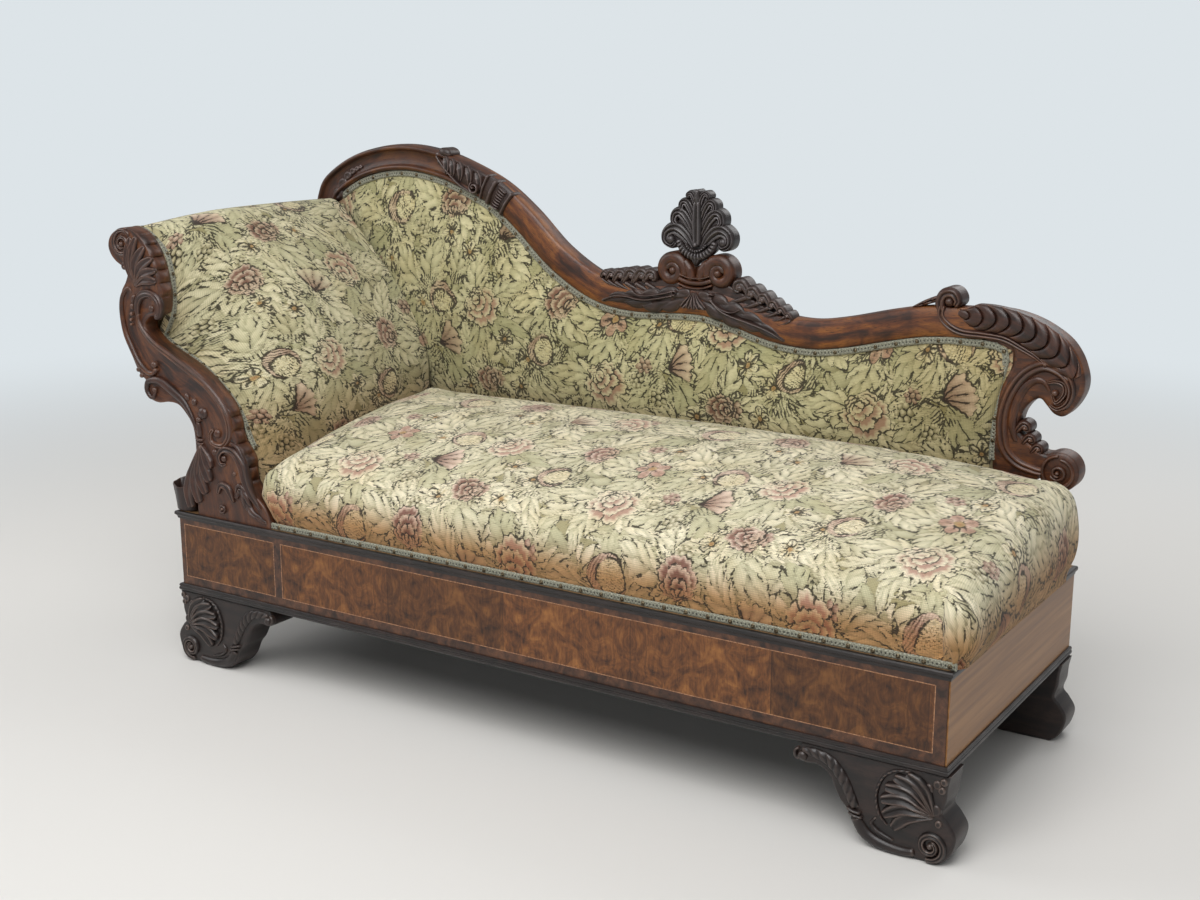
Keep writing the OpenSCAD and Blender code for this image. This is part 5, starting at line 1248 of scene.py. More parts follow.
head_row = raised(smooth(head_points(PAD_FRONT_SHARES)))[10:-22]
head_out = upright(left_of(head_row), 0)
head_spine = upright(head_row, HEAD_Y0 + GIMP_W / 2) + head_out * PLAY
build("head_braid", [braid(head_spine, (0, 1, 0), head_out)], silk_braid, "head_gimp")

# %% [markdown]
# ## Nails
#
# Domed heads sit along each braid at even steps. They are bronzed brass, mottled in three tones.

# %% Nail heads
made = bronzed_nails, tree, _ = new_material("bronzed_nails", Roughness=0.36, Metallic=0.9)
noise = add(tree, "TexNoise", add(tree, "TexCoord", out="Object"), 420.0, 3.0)
surfaced(made, add(tree, "ValToRGB", noise, stops=((0.35, "#3a342a"), (0.5, "#5f5544"), (0.65, "#8d8066"))),
         add(tree, "Bump", Height=noise, Strength=0.3, Distance=0.2 * MM))


def studs(spine, out, pitch=42 * MM, height=2.6 * MM, radius=4.2 * MM):
    """Domed nail heads at even steps along a spine, each facing out. Ring by ring the radius falls
    as a cosine while the height grows as a sine."""
    run = arc_lengths(spine)
    rise = np.linspace(0, np.pi / 2, 6)[:, None, None]
    turn = np.linspace(0, 2 * np.pi, 14, endpoint=False)[None, :, None]
    parts = []
    for place in np.arange(pitch / 2, run[-1], pitch):
        c, n = (read_at(place, run, np.broadcast_to(v, spine.shape)) for v in (spine, out))
        a = unit(np.cross(n, (0.31, 0.52, 0.79)))
        around = a * np.cos(turn) + np.cross(n, a) * np.sin(turn)
        dome = c + around * (np.cos(rise) * 0.999 + 0.001) * radius + n * (GIMP_T + np.sin(rise) * height)
        parts.append(skin(np.concatenate([dome[:1] - n * 1.5 * MM, dome])))
    return parts


heads = studs(front_run, FORWARD) + studs(end_run, RIGHT) + studs(head_spine, head_out) + studs(back_spine,
                                                                                                FORWARD)
build("gimp_studs", heads, bronzed_nails, "gimp_nails")

# %% [markdown]
# ## Scrolled board
#
# The carved front of the head end is one board. Its outline runs between a left and a right curve,
# so its body is a loft: at each station a row of points crosses from one to the other, dips into
# a hollow panel, and turns over the right edge, where gadroon lobes are cut across the thickness.

# %% Scrolled board
# Places on the left curve and the right curve that face each other, from the base to the roll
BOARD_PAIRS = pts("27 0, 26 3, 25 5, 24 7, 23 8, 22 9, 21 10, 20 11, 19 11.5, 17.5 12, 16 12.5, 15 13,"
                  " 14 13.5, 13 14, 12 14.7, 11 15, 10 16, 9 17, 8 18, 7 19, 6 20, 5 20.5, 4 21, 3 21.7,"
                  " 2 22.4, 1 23.3, 0 24")
left_curve, right_curve = (smooth(head_points(shares)) for shares in (BOARD_LEFT_SHARES, BOARD_RIGHT_SHARES))


def board_part(count=460):
    """The board's loft. Stations are even along the middle line. A section dips into a hollow panel
    on the limb only, and its right edge bulges in teeth where the gadroons are."""
    places = read_at(np.linspace(0, len(BOARD_PAIRS) - 1, 900), np.arange(len(BOARD_PAIRS)), BOARD_PAIRS)
    run = arc_lengths((at_index(left_curve, places[:, 0]) + at_index(right_curve, places[:, 1])) / 2)
    left_at, right_at = read_at(np.linspace(0, run[-1], count), run, places).T
    left, right = at_index(left_curve, left_at), at_index(right_curve, right_at)
    width = np.linalg.norm(right - left, axis=1)[:, None]
    way = unit(right - left)
    w = np.linspace(0, 1, 34)[None, :]
    w = w - 0.09 * np.sin(2 * np.pi * w)
    from_left, from_right = w * width / MM, (1 - w) * width / MM
    limb = (ease((left_at - 8) / 1.5) * ease((20.5 - left_at) / 1.5))[:, None]
    edge = np.clip(np.minimum(from_left, from_right) / 4, 0, 1)
    plain = 1.6 * np.sqrt(np.maximum(1 - (1 - edge) ** 2, 0)) - 1.6
    hollow = -4.2 * np.clip(np.minimum(from_left - 9, from_right - 8) / (width / MM / 3), 0, 1) ** 0.7
    front = upright(off_line(left, way, w * width), BOARD_Y0 - (plain + hollow * limb) * MM)
    v = np.linspace(0, 1, 11)[None, 1:-1]
    tooth = np.abs(np.sin(np.pi * arc_lengths(right)[:, None] / (27 * MM))) ** 0.6
    cut = (ease((right_at - 17.6) / 0.6) * ease((23.6 - right_at) / 0.6)
           + ease((right_at - 3.4) / 0.6) * ease((9.2 - right_at) / 0.6))[:, None]
    bulge = (2.5 + 8.0 * cut * (tooth - 0.5)) * MM * np.sin(np.pi * v) ** 0.45
    rim = BOARD_Y0 + 1.6 * MM
    side = upright(off_line(right, way, bulge), rim + (BOARD_Y1 - rim) * v)
    back = upright(np.stack([right, left], 1), BOARD_Y1)
    left_side = upright(off_line(left, way, 0 * v[:, ::3]), BOARD_Y1 + (rim - BOARD_Y1) * v[:, ::3])
    return skin(np.concatenate([front, side, back, left_side], 1))


FACE = BOARD_Y0 + 0.8 * MM
build("scroll_board", [board_part()] + carve(head_points, FACE, [
    # Outer bead from the husk under the roll down to its curled end
    ("-.6 .772, -.662 .786, -.767 .762, -.81 .726, -.805 .673, -.76 .62, -.66 .57, -.56 .528, -.46 .503, "
     "-.36 .49, -.27 .492, -.215 .51",
     (3, 5, 5.5, 6, 6.5, 7, 7, 6.5, 6, 5), (3, 5, 6, 6, 6.5, 7, 6.5, 6), ridged(1, 0.1)),
    ("-.25 .522", 7.5, 7, 7), ("-.57 .497", 6, 5, 4, 0.6), ("-.515 .477", 6, 5, 4, 0.6),
    # Double bead along the limb, which ends in a round eye above the drop
    ("-.5 .7, -.485 .67, -.4 .635, -.229 .598, .053 .556, .238 .515, .419 .467, .55 .413, .615 .362, "
     ".622 .308, .55 .268, .445 .272, .425 .3, .46 .322",
     (4, 6, 7.5, 8, 8, 8, 7.5, 6.5, 5), (5, 6, 6, 5.5, 5.5, 6, 6), ridged(2, 0.5)),
    (".505 .31", 9, 9.5, 8)]), panel_walnut, "head_front_board")

# %% Carving of the board's roll
roll_parts = volute(head_points("-.715 .941"), 30, 7, 1.75, 40, (4, 6, 6, 5, 3.5), (5, 6, 6.5, 7, 7), FACE,
                    ridged(2, 0.35), 6)
root = head_points("-.515 .795")[0]
for tip in head_points("-.545 .968, -.44 .97, -.295 .938, -.165 .9, -.11 .858, -.105 .82"):
    way = tip - root
    mid = root + way * 0.5 + np.array([-way[1], way[0]]) * 0.13
    roll_parts.append(stroke([root, mid, tip], (3, 8, 12.5, 12, 6), (4, 8, 10, 9, 5), FACE, cupped))
roll_parts += volute(head_points("-.7 .862"), 7, 3, 1.0, 60, (3, 3, 2), (4, 4, 4), FACE, rounded, 3)
build("roll_shell", roll_parts, board_carving, "arm_shell_leaf")
build("inner_scroll", carve(head_points, FACE, [("-.51 .69, -.51 .73, -.43 .762, -.28 .775, -.14 .763,"
                                                 " -.07 .733, -.1 .7, -.18 .695", (5, 8, 9.5, 10, 9, 8, 6),
                                                 (5, 7, 8, 8, 7.5, 7), ridged(3, 0.45)), ("-.24 .722", 7, 7, 5),
                                                ("-.575 .75", 5, 9, 5, -0.4), ("-.606 .722", 4.5, 6, 5),
                                                ("-.628 .695", 4, 4.5, 4.5), ("-.645 .674", 3.2, 3.5, 4),
                                                ("-.648 .657", 2.6, 2.8, 3.5)]), board_carving,
      "arm_inner_scroll")

# %% Carving of the board's foot
low_parts = carve(head_points, FACE, [
    ("-.25 .43, -.29 .407, -.355 .404, -.415 .426, -.4 .452, -.332 .463, -.175 .466, .029 .438, .157 .403,"
     " .226 .362, .267 .326, .29 .3", (3, 5, 6.5, 8, 9, 9, 8, 6.5, 5, 3), (5, 7, 8, 8, 7, 6, 5)),
    ("-.265 .432", 6, 6, 7), (".2 .424", 5.5, 8, 6, 0.5), (".274 .41", 7, 8, 7), (".36 .374", 12.5, 12, 9),
    (".315 .35", 7, 6, 8), (".3 .342, .312 .31, .312 .285", (5, 7, 6), (6, 7, 6)),
    (".268 .284, .312 .277, .352 .279", (3.4, 4, 3.4), (7, 8, 7)),
    (".272 .27, .312 .263, .35 .265", (3, 3.5, 3), (6, 7, 6))])
# Five husks hang from one root, each through a middle point to its tip
HUSK_ROOT = np.array([0.318, 0.262])
for number, line in enumerate((".15 .09, .175 .02", ".225 .12, .272 .045", ".28 .15, .352 .083",
                               ".335 .19, .405 .13", ".365 .225, .42 .178")):
    mid, tip = pts(line)
    low_parts += carve(head_points, FACE, [
        ([HUSK_ROOT, (HUSK_ROOT + mid) / 2 + (-0.004, 0.006), mid, tip], (3, 8, 13, 15, 10),
         (4 + number, 6 + number, 7 + number), cupped, {"across": 19})])
low_parts += carve(head_points, FACE, [
    (".465 .24", 7.5, 7.5, 7),
    (".575 .205, .528 .203, .51 .23, .565 .256, .665 .252, .74 .212, .775 .16, .825 .11, .915 .062",
     (4, 6, 8, 10, 13, 12, 8, 3), (6, 9, 9, 8, 7, 4), cupped, {"across": 19}),
    (".562 .224", 7, 7.5, 8), (".63 .285, .7 .27, .755 .23, .795 .18", (2.5, 5, 5, 3), (4, 5, 4)),
    (".475 .09, .51 .125, .585 .118, .64 .07", (4, 8, 9, 4), (6, 8, 6), cupped),
    (".665 .085, .71 .13, .765 .1, .81 .055, .9 .03, .975 .02", (4, 9, 12, 10, 7, 3), (6, 9, 9, 7, 4), leafy(4),
     {"across": 21})])
build("foot_husks", low_parts, board_carving, "arm_lower_scroll")
rosettes = volute(head_points(".515 .04"), 9, 4, 1.2, 200, (2.6, 3, 2.4), (6, 6, 6), FACE, rounded, 4)
rosettes += carve(head_points, FACE, [(".66 .175", 5, 5, 5), (".88 .035", 6, 4, 5, {"dent": 0.5})])
build("board_rosettes", rosettes, board_carving, "arm_rosettes")


def cup_part(centre, foot, height, r0, r1, wall=4 * MM):
    """A rolled leaf, open at the top: rings up its outside, over a lobed rim and down inside."""
    a = np.linspace(0, 2 * np.pi, 60, endpoint=False)
    r, h = np.array([(r0 * 0.8, 0), (r0, 0.04), (r0 * 1.02, 0.2), (r0 + (r1 - r0) * 0.4, 0.5),
                     (r0 + (r1 - r0) * 0.8, 0.8), (r1, 0.95), (r1 - wall * 0.4, 1.0), (r1 - wall, 0.97),
                     (r1 - wall * 1.6, 0.7), (r0 - wall, 0.45), (r0 * 0.4, 0.4)]).T[..., None]
    reach = r * (1 + 0.05 * h * np.cos(7 * a) + 0.03 * h * np.cos(3 * a + 1))
    z = foot + height * h * (1 + 0.05 * np.sin(2 * a + 0.6) + 0.17 * np.sin(a) + 0.1 * np.cos(a))
    return skin(np.stack([centre[0] + reach * np.cos(a), centre[1] + reach * 0.66 * np.sin(a), z], -1))


cup_at = (head_x(0.062), (BOARD_Y0 + BOARD_Y1) / 2)
build("rolled_cup", [cup_part(cup_at, BASE_TOP, 64 * MM, 27 * MM, 33 * MM)], carved_walnut,
      "arm_base_cup")

# %% [markdown]
# ## Crest rail
#
# The rail is one loft along its centre line. Over the arch it has a bead on each edge and a hollow
# between. Past the collar it is plain and convex. Its top edge is softly rounded.

# %% Crest rail
def crest_at(index, off):
    """Points beside the crest's centre line, off outward in millimetres, at places counted in
    control points."""
    off = np.reshape(off, (-1, 1)) * MM
    return at_index(crest_line, index) + at_index(left_of(crest_line), index) * off


def crest_part(count=640):
    """The crest rail's loft. The arch has a half-round bead on each edge and a hollow between, and
    the rest is one low dome. The two sections blend at the collar."""
    tail = crest_line[0] - unit(crest_line[3] - crest_line[0]) * 24 * MM - (0, 6 * MM)
    long_line = np.vstack([tail, crest_line])
    line = even(long_line, count)
    run = arc_lengths(long_line)
    index = np.interp(np.linspace(0, run[-1], count), run, (np.arange(len(long_line)) - 1) / SPAN)[:, None]
    half = CREST_W / 2 / MM
    w = np.concatenate([np.linspace(-half, -16, 9), np.linspace(-15, 16, 13), np.linspace(17, half, 9)])[None, :]
    outer = 7.0 * np.sqrt(np.maximum(1 - ((w - 21.5) / 5.5) ** 2, 0))
    inner = 8.0 * np.sqrt(np.maximum(1 - ((w + 21) / 6.0) ** 2, 0))
    arch = np.maximum(outer, inner) - 5.5 * np.maximum(1 - (w / 17) ** 2, 0) ** 0.8
    last = (len(crest_line) - 1) / SPAN
    plain = 7.0 * np.maximum(1 - (w / (half + 0.01)) ** 2, 0) ** 0.7 * (1 - 0.9 * ease((index - last + 0.9) / 0.9))
    share = ease((index - 6.4) / 0.6)
    front = upright(off_line(line, left_of(line), w * MM), CREST_Y0 - (arch * (1 - share) + plain * share) * MM)
    v = np.linspace(0, 1, 9)[None, :]
    rim = CREST_Y0 + 1 * MM
    top = (half - 3.0 + 5.0 * np.sin(np.pi * np.clip(v * 0.9 + 0.06, 0, 1)) ** 0.5) * MM
    side = upright(off_line(line, left_of(line), top), rim + (CREST_Y1 - rim) * v)
    low = upright(off_line(line, left_of(line), np.full((1, 2), -CREST_W / 2)), np.array([[CREST_Y1, rim]]))
    return skin(np.concatenate([front, side, low], 1))


build("crest_rail_carved", [crest_part()], polished_walnut, "crest_rail")
husks = [boss(crest_points([(x, z)]), size * 1.4, size * 1.15, size * 0.8 + 5, CREST_Y0 + 6 * MM, turn, dent=0.45)
         for x, z, size, turn in pts("-.023 .8735 13 .9, -.0145 .909 11 .7, -.0055 .9345 9 .6, .003 .9495 6.5 .5,"
                                     " .0105 .9585 5 .5, .0165 .9645 3.6 .5", 4)]
build("crest_husks", husks, crest_walnut, "crest_rail")

CREST_FACE = CREST_Y0 + 1 * MM
cap_parts = [
    stroke(crest_at([6.75, 6.45, 6.1, 5.75, 5.4, 5.05], [0, 0, 1, 2, 4, 8]), (26, 26, 24, 19, 12, 4),
           (8, 9, 9, 8, 7), CREST_FACE),
    stroke(crest_at([6.66, 6.4, 6.1, 5.7, 5.3, 5.0], [-21, -23, -20, -10, 4, 20]), (3, 3.5, 3, 2.5),
           (10, 14, 13, 11), CREST_FACE),
    boss(crest_at([5.28], [30]), 17, 10, 9, CREST_Y0, -0.25, sink=30 * MM),
    boss(crest_at([5.05], [22]), 7, 5, 9, CREST_FACE, -0.3)]
for root in (6.62, 6.34, 6.06, 5.78, 5.52):
    cap_parts.append(stroke(crest_at([root, root + 0.02, root - 0.04, root - 0.2], [-16, -2, 12, 24]),
                            (3, 8.5, 11, 5), (9, 15, 16, 9), CREST_FACE, cupped))
cap_parts += volute(crest_at([6.56], [-9]), 14, 4, 1.3, 120, (3.5, 4.5, 4), (17, 20, 22), CREST_FACE, rounded, 4)
build("crest_cap_leaf", cap_parts, crest_walnut, "crest_leaf_cap")
collar_parts = [stroke(crest_at([6.72, 6.95, 7.2, 7.48], [1, 1, 1, 1]), (29, 29), (9, 9), CREST_FACE)]
for index, half, depth in ((6.74, 4.6, 15), (6.98, 6.5, 18), (7.46, 5.0, 16)):
    collar_parts.append(stroke(crest_at([index] * 3, [31, 0, -28.5]), (half, half), (depth - 4, depth, depth - 4),
                               CREST_FACE, sink=20 * MM))
for off in np.linspace(-22, 22, 8):
    collar_parts.append(stroke(crest_at([7.08, 7.2, 7.36], [off, off, off * 0.92]), (2.2, 3.6, 2.8), (11, 15, 13),
                               CREST_FACE))
build("crest_rings", collar_parts, crest_walnut, "crest_collar")

# %% [markdown]
# ## Centre ornament
#
# Two round scrolls tied by a triple band carry a palmette of curled leaves. Its offsets are in
# millimetres from the foot of the scrolls.

# %% Centre ornament
scroll_low, scroll_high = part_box("finial_scrolls")
FINIAL = ((scroll_low.x + scroll_high.x) / 2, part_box("finial_palmette")[0].z - 2 * 37 * MM)
palm_low, palm_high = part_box("finial_palmette")
PALM_Y = palm_low.y + 6 * MM
SCROLL_Y = scroll_low.y + 9 * MM
PALM_T = palm_high.y - PALM_Y - 1 * MM
SCROLL_T = scroll_high.y - SCROLL_Y - 1 * MM


def over(points, side=1, wide=1.0):
    """Points over the crest's centre, in millimetres, mirrored for the left side."""
    return FINIAL + pts(points) * MM * (side * wide, 1)


NARROW = 0.85
palm = [slab(even(smooth(over("0 44, 30 62, 58 84, 70 100, 58 122, 46 142, 32 162, 16 182, 0 188, -16 182,"
                              " -32 162, -46 142, -58 122, -70 100, -58 84, -30 62, 0 44", wide=NARROW)),
                  130)[:-1], PALM_Y + 1 * MM, palm_high.y, 5 * MM, 4 * MM)]
for side in (1, -1):
    for path, half, depth in (
            ("10 74, 34 100, 60 113, 82 104, 84 88, 68 80, 58 88", (5, 13, 16, 13, 9, 6), (5, 9, 12, 12, 10)),
            ("8 98, 26 128, 45 145, 60 142, 64 128, 54 120", (4, 11, 13, 10, 6), (5, 9, 11, 10)),
            ("6 124, 17 150, 30 166, 42 164, 44 152, 36 148", (3.5, 8, 10, 8, 5), (5, 9, 10, 9)),
            ("3 150, 8 172, 17 184, 27 181, 25 173", (3, 7, 8, 6, 4), (5, 9, 9, 8))):
        palm.append(stroke(over(path, side, NARROW), half, depth, PALM_Y + 3 * MM, ridged(3, 0.42), sink=PALM_T
                           - 4 * MM, across=19))
    palm.append(boss(over("70 91", side, NARROW), 9, 9, 10, PALM_Y, sink=5 * MM))
palm += [
    stroke(over("0 80, 0 120, 0 170"), (9, 13, 9), (9, 12, 10), PALM_Y, ridged(2, 0.45), sink=6 * MM),
    stroke(over("0 158, 0 176, 0 193"), (5, 8, 5), (8, 11, 9), PALM_Y + 1 * MM, sink=PALM_T - 4 * MM),
    boss(over("0 84"), 6, 6, 13, PALM_Y),
    stroke(over("-42 92, -33 75, -15 63, 0 60, 15 63, 33 75, 42 92"), (6, 9, 10, 9, 6), (9, 12, 13, 12, 9),
           PALM_Y, roped(15, 0.1, 0.5), sink=6 * MM),
    stroke(over("-24 86, -15 76, 0 71, 15 76, 24 86"), (3, 4, 3), (10, 13, 10), PALM_Y, roped(11, 0.1, 0.5)),
    stroke(over("0 62, 0 52, 0 41"), (11, 9, 2), (12, 12, 8), PALM_Y, ridged(3, 0.45), sink=6 * MM)]
build("centre_palmette", palm, grey_walnut, "finial_palmette")

pair = [slab(over("-62 -14, 62 -14, 58 40, -58 40")[::-1], SCROLL_Y + 8 * MM, scroll_high.y, 2 * MM, 2 * MM)]
for side in (1, -1):
    line = spiral((54, 30), 30, 9, -1.55, 200)
    pair.append(stroke(over(line, side), (10, 13, 13, 12, 9, 7), (10, 12, 12, 11, 10), SCROLL_Y, rounded,
                       sink=SCROLL_T - 1 * MM, across=19, curve=False))
    pair.append(stroke(over("8 12, 16 34, 28 52", side), (9, 12, 8), (9, 11, 9), SCROLL_Y, rounded,
                       sink=SCROLL_T - 4 * MM))
    pair.append(boss(over("51 30", side), 9, 9, 13, SCROLL_Y, sink=12 * MM))
for z, half, depth in ((23, 3, 10), (13, 6, 9), (3, 3, 10)):
    pair.append(stroke(over([(-40, z + 3), (-20, z - 4), (0, z - 6), (20, z - 4), (40, z + 3)]), (half,) * 5,
                       (depth,) * 5, SCROLL_Y, sink=12 * MM))
build("centre_scrolls", pair, panel_walnut, "finial_scrolls")

# %% Leaves along the crest
LEAF_Y = CREST_Y0 - 3 * MM


def crocket(centre, r, hand, y=CREST_Y0 - 2 * MM):
    """A curled leaf tip, in millimetres: a thick comma that curls round a ball."""
    unit_of = np.array((hand, 1)) * r * MM
    line = centre + pts("1.25 -.95, .75 -.15, .15 .52, -.5 .35, -.6 -.25, -.1 -.3") * unit_of
    half = np.array((0.3, 0.55, 0.62, 0.5, 0.34)) * r
    return [stroke(line, half, (5, 8, 9, 8, 6), y, ridged(2, 0.35), sink=26 * MM),
            boss(centre + np.array((-0.12, -0.05)) * unit_of, r * 0.4, r * 0.4, 8, y, sink=26 * MM)]


LEAVES = {
    1: ("6 -22, 36 -30, 70 -42, 104 -53, 140 -63, 172 -76, 203 -91", (17, 26, 28, 24, 18, 12, 3),
        "38 -13, 50 -30, 72 -41, 92 -43, 108 -35",
        "37 -19, 58 -38, 86 -50, 126 -60, 166 -72, 202 -90",
        "104 6 18, 130 -5 16.5, 154 -14 14.5, 175 -24 12, 193 -33 10, 208 -41 8",
        "30 -40, 44 16, 84 4, 112 -8, 150 -26, 190 -42, 214 -54, 206 -76, 120 -60"),
    -1: ("6 -22, 40 -26, 80 -32, 116 -34, 150 -33, 186 -34, 220 -44", (17, 26, 28, 24, 18, 12, 3),
         "45 -11, 70 -18, 108 -25, 132 -23, 147 -11",
         "45 -20, 75 -27, 108 -33, 132 -33, 153 -30, 185 -31, 219 -44",
         "102 14 15, 125 13 17, 150 12 16, 175 10 14, 196 10 11, 212 11 9",
         "30 -40, 44 16, 84 8, 120 4, 160 2, 200 0, 222 4, 216 -30, 120 -40")}


for side, name in ((1, "crest_leaf_right"), (-1, "crest_leaf_left")):
    spine, half, upper, lower, tips, web = LEAVES[side]
    parts = [stroke(over(spine, side), half, (5, 8, 8, 7.5, 6, 4), LEAF_Y, leafy(5, 0.8, 0.3), sink=8 * MM,
                    across=41, lobes=5), slab(ring(smooth(over(web, side)), 89), CREST_Y0 - 1 * MM, CREST_Y1 - 3
                                              * MM, 5 * MM, 3 * MM),
             stroke(over(upper, side), (3.4, 2.8, 2.6, 2.2), (12, 14.5, 14, 11), LEAF_Y),
             stroke(over(lower, side), (3.4, 2.9, 2.8, 2.5, 2.0), (12, 14.5, 14, 12, 8), LEAF_Y)]
    parts += volute(over("42 -15", side), 5, 3, 1.0, 0, (2.0, 2.4), (14, 15), LEAF_Y)
    for x, z, r in pts(tips, 3):
        parts += crocket(over([(x, z)], side), r, side)
        drop = -14 if side > 0 else -20
        parts.append(stroke(over([(x + r * 0.9, z - r * 0.9), (x - 4, z - r - 7),
                                  (x - 24, z - r - 4 + drop * 0.5)], side), (r * 0.32, r * 0.3, 1.5), (7, 6, 4),
                            CREST_Y0 - 1 * MM, sink=12 * MM))
    if side > 0:
        for x in (-28, -14, 0, 14, 28):
            parts.append(stroke(over([(x * 0.1, -10), (x * 0.5, -28), (x, -46 + abs(x) * 0.1)]),
                                (1.6, 4, 6.5, 5), (7, 11, 10), LEAF_Y, cupped))
    build("carved_" + name, parts, crest_walnut, name)

# %% [markdown]
# ## Foot scroll
#
# At the foot the crest curls over and down, and a second curve rises from the seat to meet it in
# a C. The body is a thick rounded board. Scales overlap along its top, and a double reed
# follows the C into its curl.

# %% Foot scroll
SCROLL_OUTER_SHARES = ("1 .998, .79 .998, .6 .985, .4 .957, .19 .906, .07 .849, .005 .789, -.016 .743,"
                       " .005 .696, .074 .645, .165 .611, .26 .617, .34 .649, .4 .67, .485 .651, .56 .609,"
                       " .59 .557, .57 .534, .45 .49, .32 .46, .2 .47")
SCROLL_LIMB_SHARES = ".815 .394, .85 .466, .853 .564, .82 .655, .75 .735, .685 .79, .7 .85, .82 .876, 1 .88"
post = np.array([(post_high.x + 26 * MM, post_high.z - 70 * MM), (post_low.x - 6 * MM, post_high.z - 70 * MM)])
SCROLL_START = beside(crest_line, [CREST_W / 2 - 2 * MM])[-9:], beside(crest_line,
                                                                       [-CREST_W / 2 + 2 * MM])[-9:][::-1]
outline = np.vstack([SCROLL_START[0], smooth(scroll_points(SCROLL_OUTER_SHARES)),
                     scroll_points(".2 .4, .42 .34, .56 .355"), post, smooth(scroll_points(SCROLL_LIMB_SHARES)),
                     SCROLL_START[1]])
outline = ring(outline, 379)
KNOB = scroll_points(".17 .394")[0]
scroll_parts = [slab(outline, CREST_Y0 - 1 * MM, CREST_Y1 - 0.7 * MM, 8 * MM, 5 * MM, 8),
                slab(even(scroll_points(".96 .885, .6 .885, .55 .72, .66 .55, .7 .24, .88 .24, .96 .885"),
                          120)[:-1], CREST_Y0 + 3.6 * MM, CREST_Y1 - 1.6 * MM, 1.5 * MM),
                boss(KNOB, 36.5, 36.5, 7, CREST_Y0 + 2 * MM, sink=CREST_Y1 - CREST_Y0 - 5 * MM, around=56,
                     rings=10), stroke(scroll_points(".3 .655, .22 .64, .13 .665, .1 .715, .15 .76, .26 .79,"
                                                     " .4 .797, .56 .757, .68 .685, .74 .609, .745 .528,"
                                                     " .7 .457, .58 .41, .42 .39, .32 .385"),
                                       (4, 8, 11, 12, 12, 12, 12, 11, 9), (7, 8, 8, 8, 7, 7, 7), CREST_Y0,
                                       ridged(2, 0.5), across=21),
                stroke(scroll_points(".3 .7, .36 .735, .45 .74, .56 .7, .635 .62, .645 .55, .6 .49"),
                       (3, 7, 9, 9, 8, 5), (4, 6, 7, 7, 5), CREST_Y0 + 1 * MM, rounded),
                stroke(scroll_points(".28 .7, .235 .665, .16 .7, .17 .735, .25 .745, .34 .735"),
                       (3, 5, 6, 5, 3), (8, 10, 10, 8), CREST_Y0, ridged(2, 0.4)),
                boss(scroll_points(".25 .7"), 7, 7, 10, CREST_Y0)]
scroll_parts += volute(KNOB, 30, 24, 1.0, 90, (4, 4, 4), (8, 9, 8), CREST_Y0)
scroll_parts += volute(KNOB, 15, 6, 1.3, 200, (3.5, 5, 4), (8, 11, 12), CREST_Y0, rounded, 5)
build("foot_scroll_body", scroll_parts, panel_walnut, "foot_scroll")

GAD_LOW = scroll_points("1.3 .955, 1.2 .928, .984 .926, .79 .915, .62 .885, .47 .845, .36 .815, .24 .79, .16 .76")
GAD_HIGH = scroll_points("1.19 1, 1.02 1, .8 .995, .6 .978, .42 .952, .25 .915, .12 .865, .04 .81, .015 .76")
low_line, high_line = even(smooth(GAD_LOW), 60), even(smooth(GAD_HIGH), 60)
gad_half = np.linalg.norm(high_line - low_line, axis=1) / 2 / MM * (0.4 + 0.6 * ease(np.linspace(0, 6, 60)))
gads = [
    stroke((low_line + high_line) / 2, gad_half * 1.06, (8, 13, 14, 14, 11), CREST_Y0 + 2 * MM, scaled(10),
           across=41, sink=10 * MM, step=0.7 * MM, curve=False),
    stroke(scroll_points("1.4 1, 1.41 .96, 1.34 .925, 1.2 .9, .98 .896, .777 .888, .6 .858, .46 .83, .36 .8"),
           (8, 9, 8, 7, 7, 6, 4), (9, 10, 9, 8, 7, 6), CREST_Y0, ridged(2, 0.5), across=19),
    stroke(scroll_points("1.41 .97, 1.43 1.01, 1.385 1.042, 1.3 1.046, 1.25 1.02, 1.28 .996"),
           (8, 10, 11, 11, 9, 6), (9, 10, 11, 11, 10), CREST_Y0, ridged(2, 0.35), sink=34 * MM, across=19),
    boss(scroll_points("1.33 1.015"), 9, 9, 13, CREST_Y0, sink=30 * MM),
    stroke(scroll_points("1.74 .975, 1.6 1, 1.46 1.022"), (2, 5, 6), (5, 8, 8), CREST_Y0 + 12 * MM,
           leafy(3), sink=20 * MM),
    boss(scroll_points(".36 .806"), 5, 5, 9, CREST_Y0)]
for share, r in (((0.53, 0.55), 13), ((0.47, 0.505), 12), ((0.39, 0.472), 11)):
    gads += crocket(scroll_points([share]), r, -1, CREST_Y0 + 3 * MM)
build("foot_gadroons", gads, board_carving, "foot_scroll_gadroons")

# %% [markdown]
# ## Feet
#
# Each foot is a wedge that ends in a spiral. The front ones carry a fan of lobes from a root at
# their outer edge, and a roped edge under the wing. The back ones are left plain.

# %% Feet
FOOT_LEN, FOOT_H = 278 * MM, 153 * MM
FOOT_OUTER_SHARES = ".045 1, .06 .86, .065 .72, .085 .575, .045 .484, 0 .35, .012 .2, .045 .08, .1 0"
FOOT_INNER_SHARES = (".43 0, .53 .04, .608 .176, .655 .346, .705 .451, .741 .569, .777 .693, .853 .771,"
                     " .935 .765, .995 .82, .975 .93, .95 1")


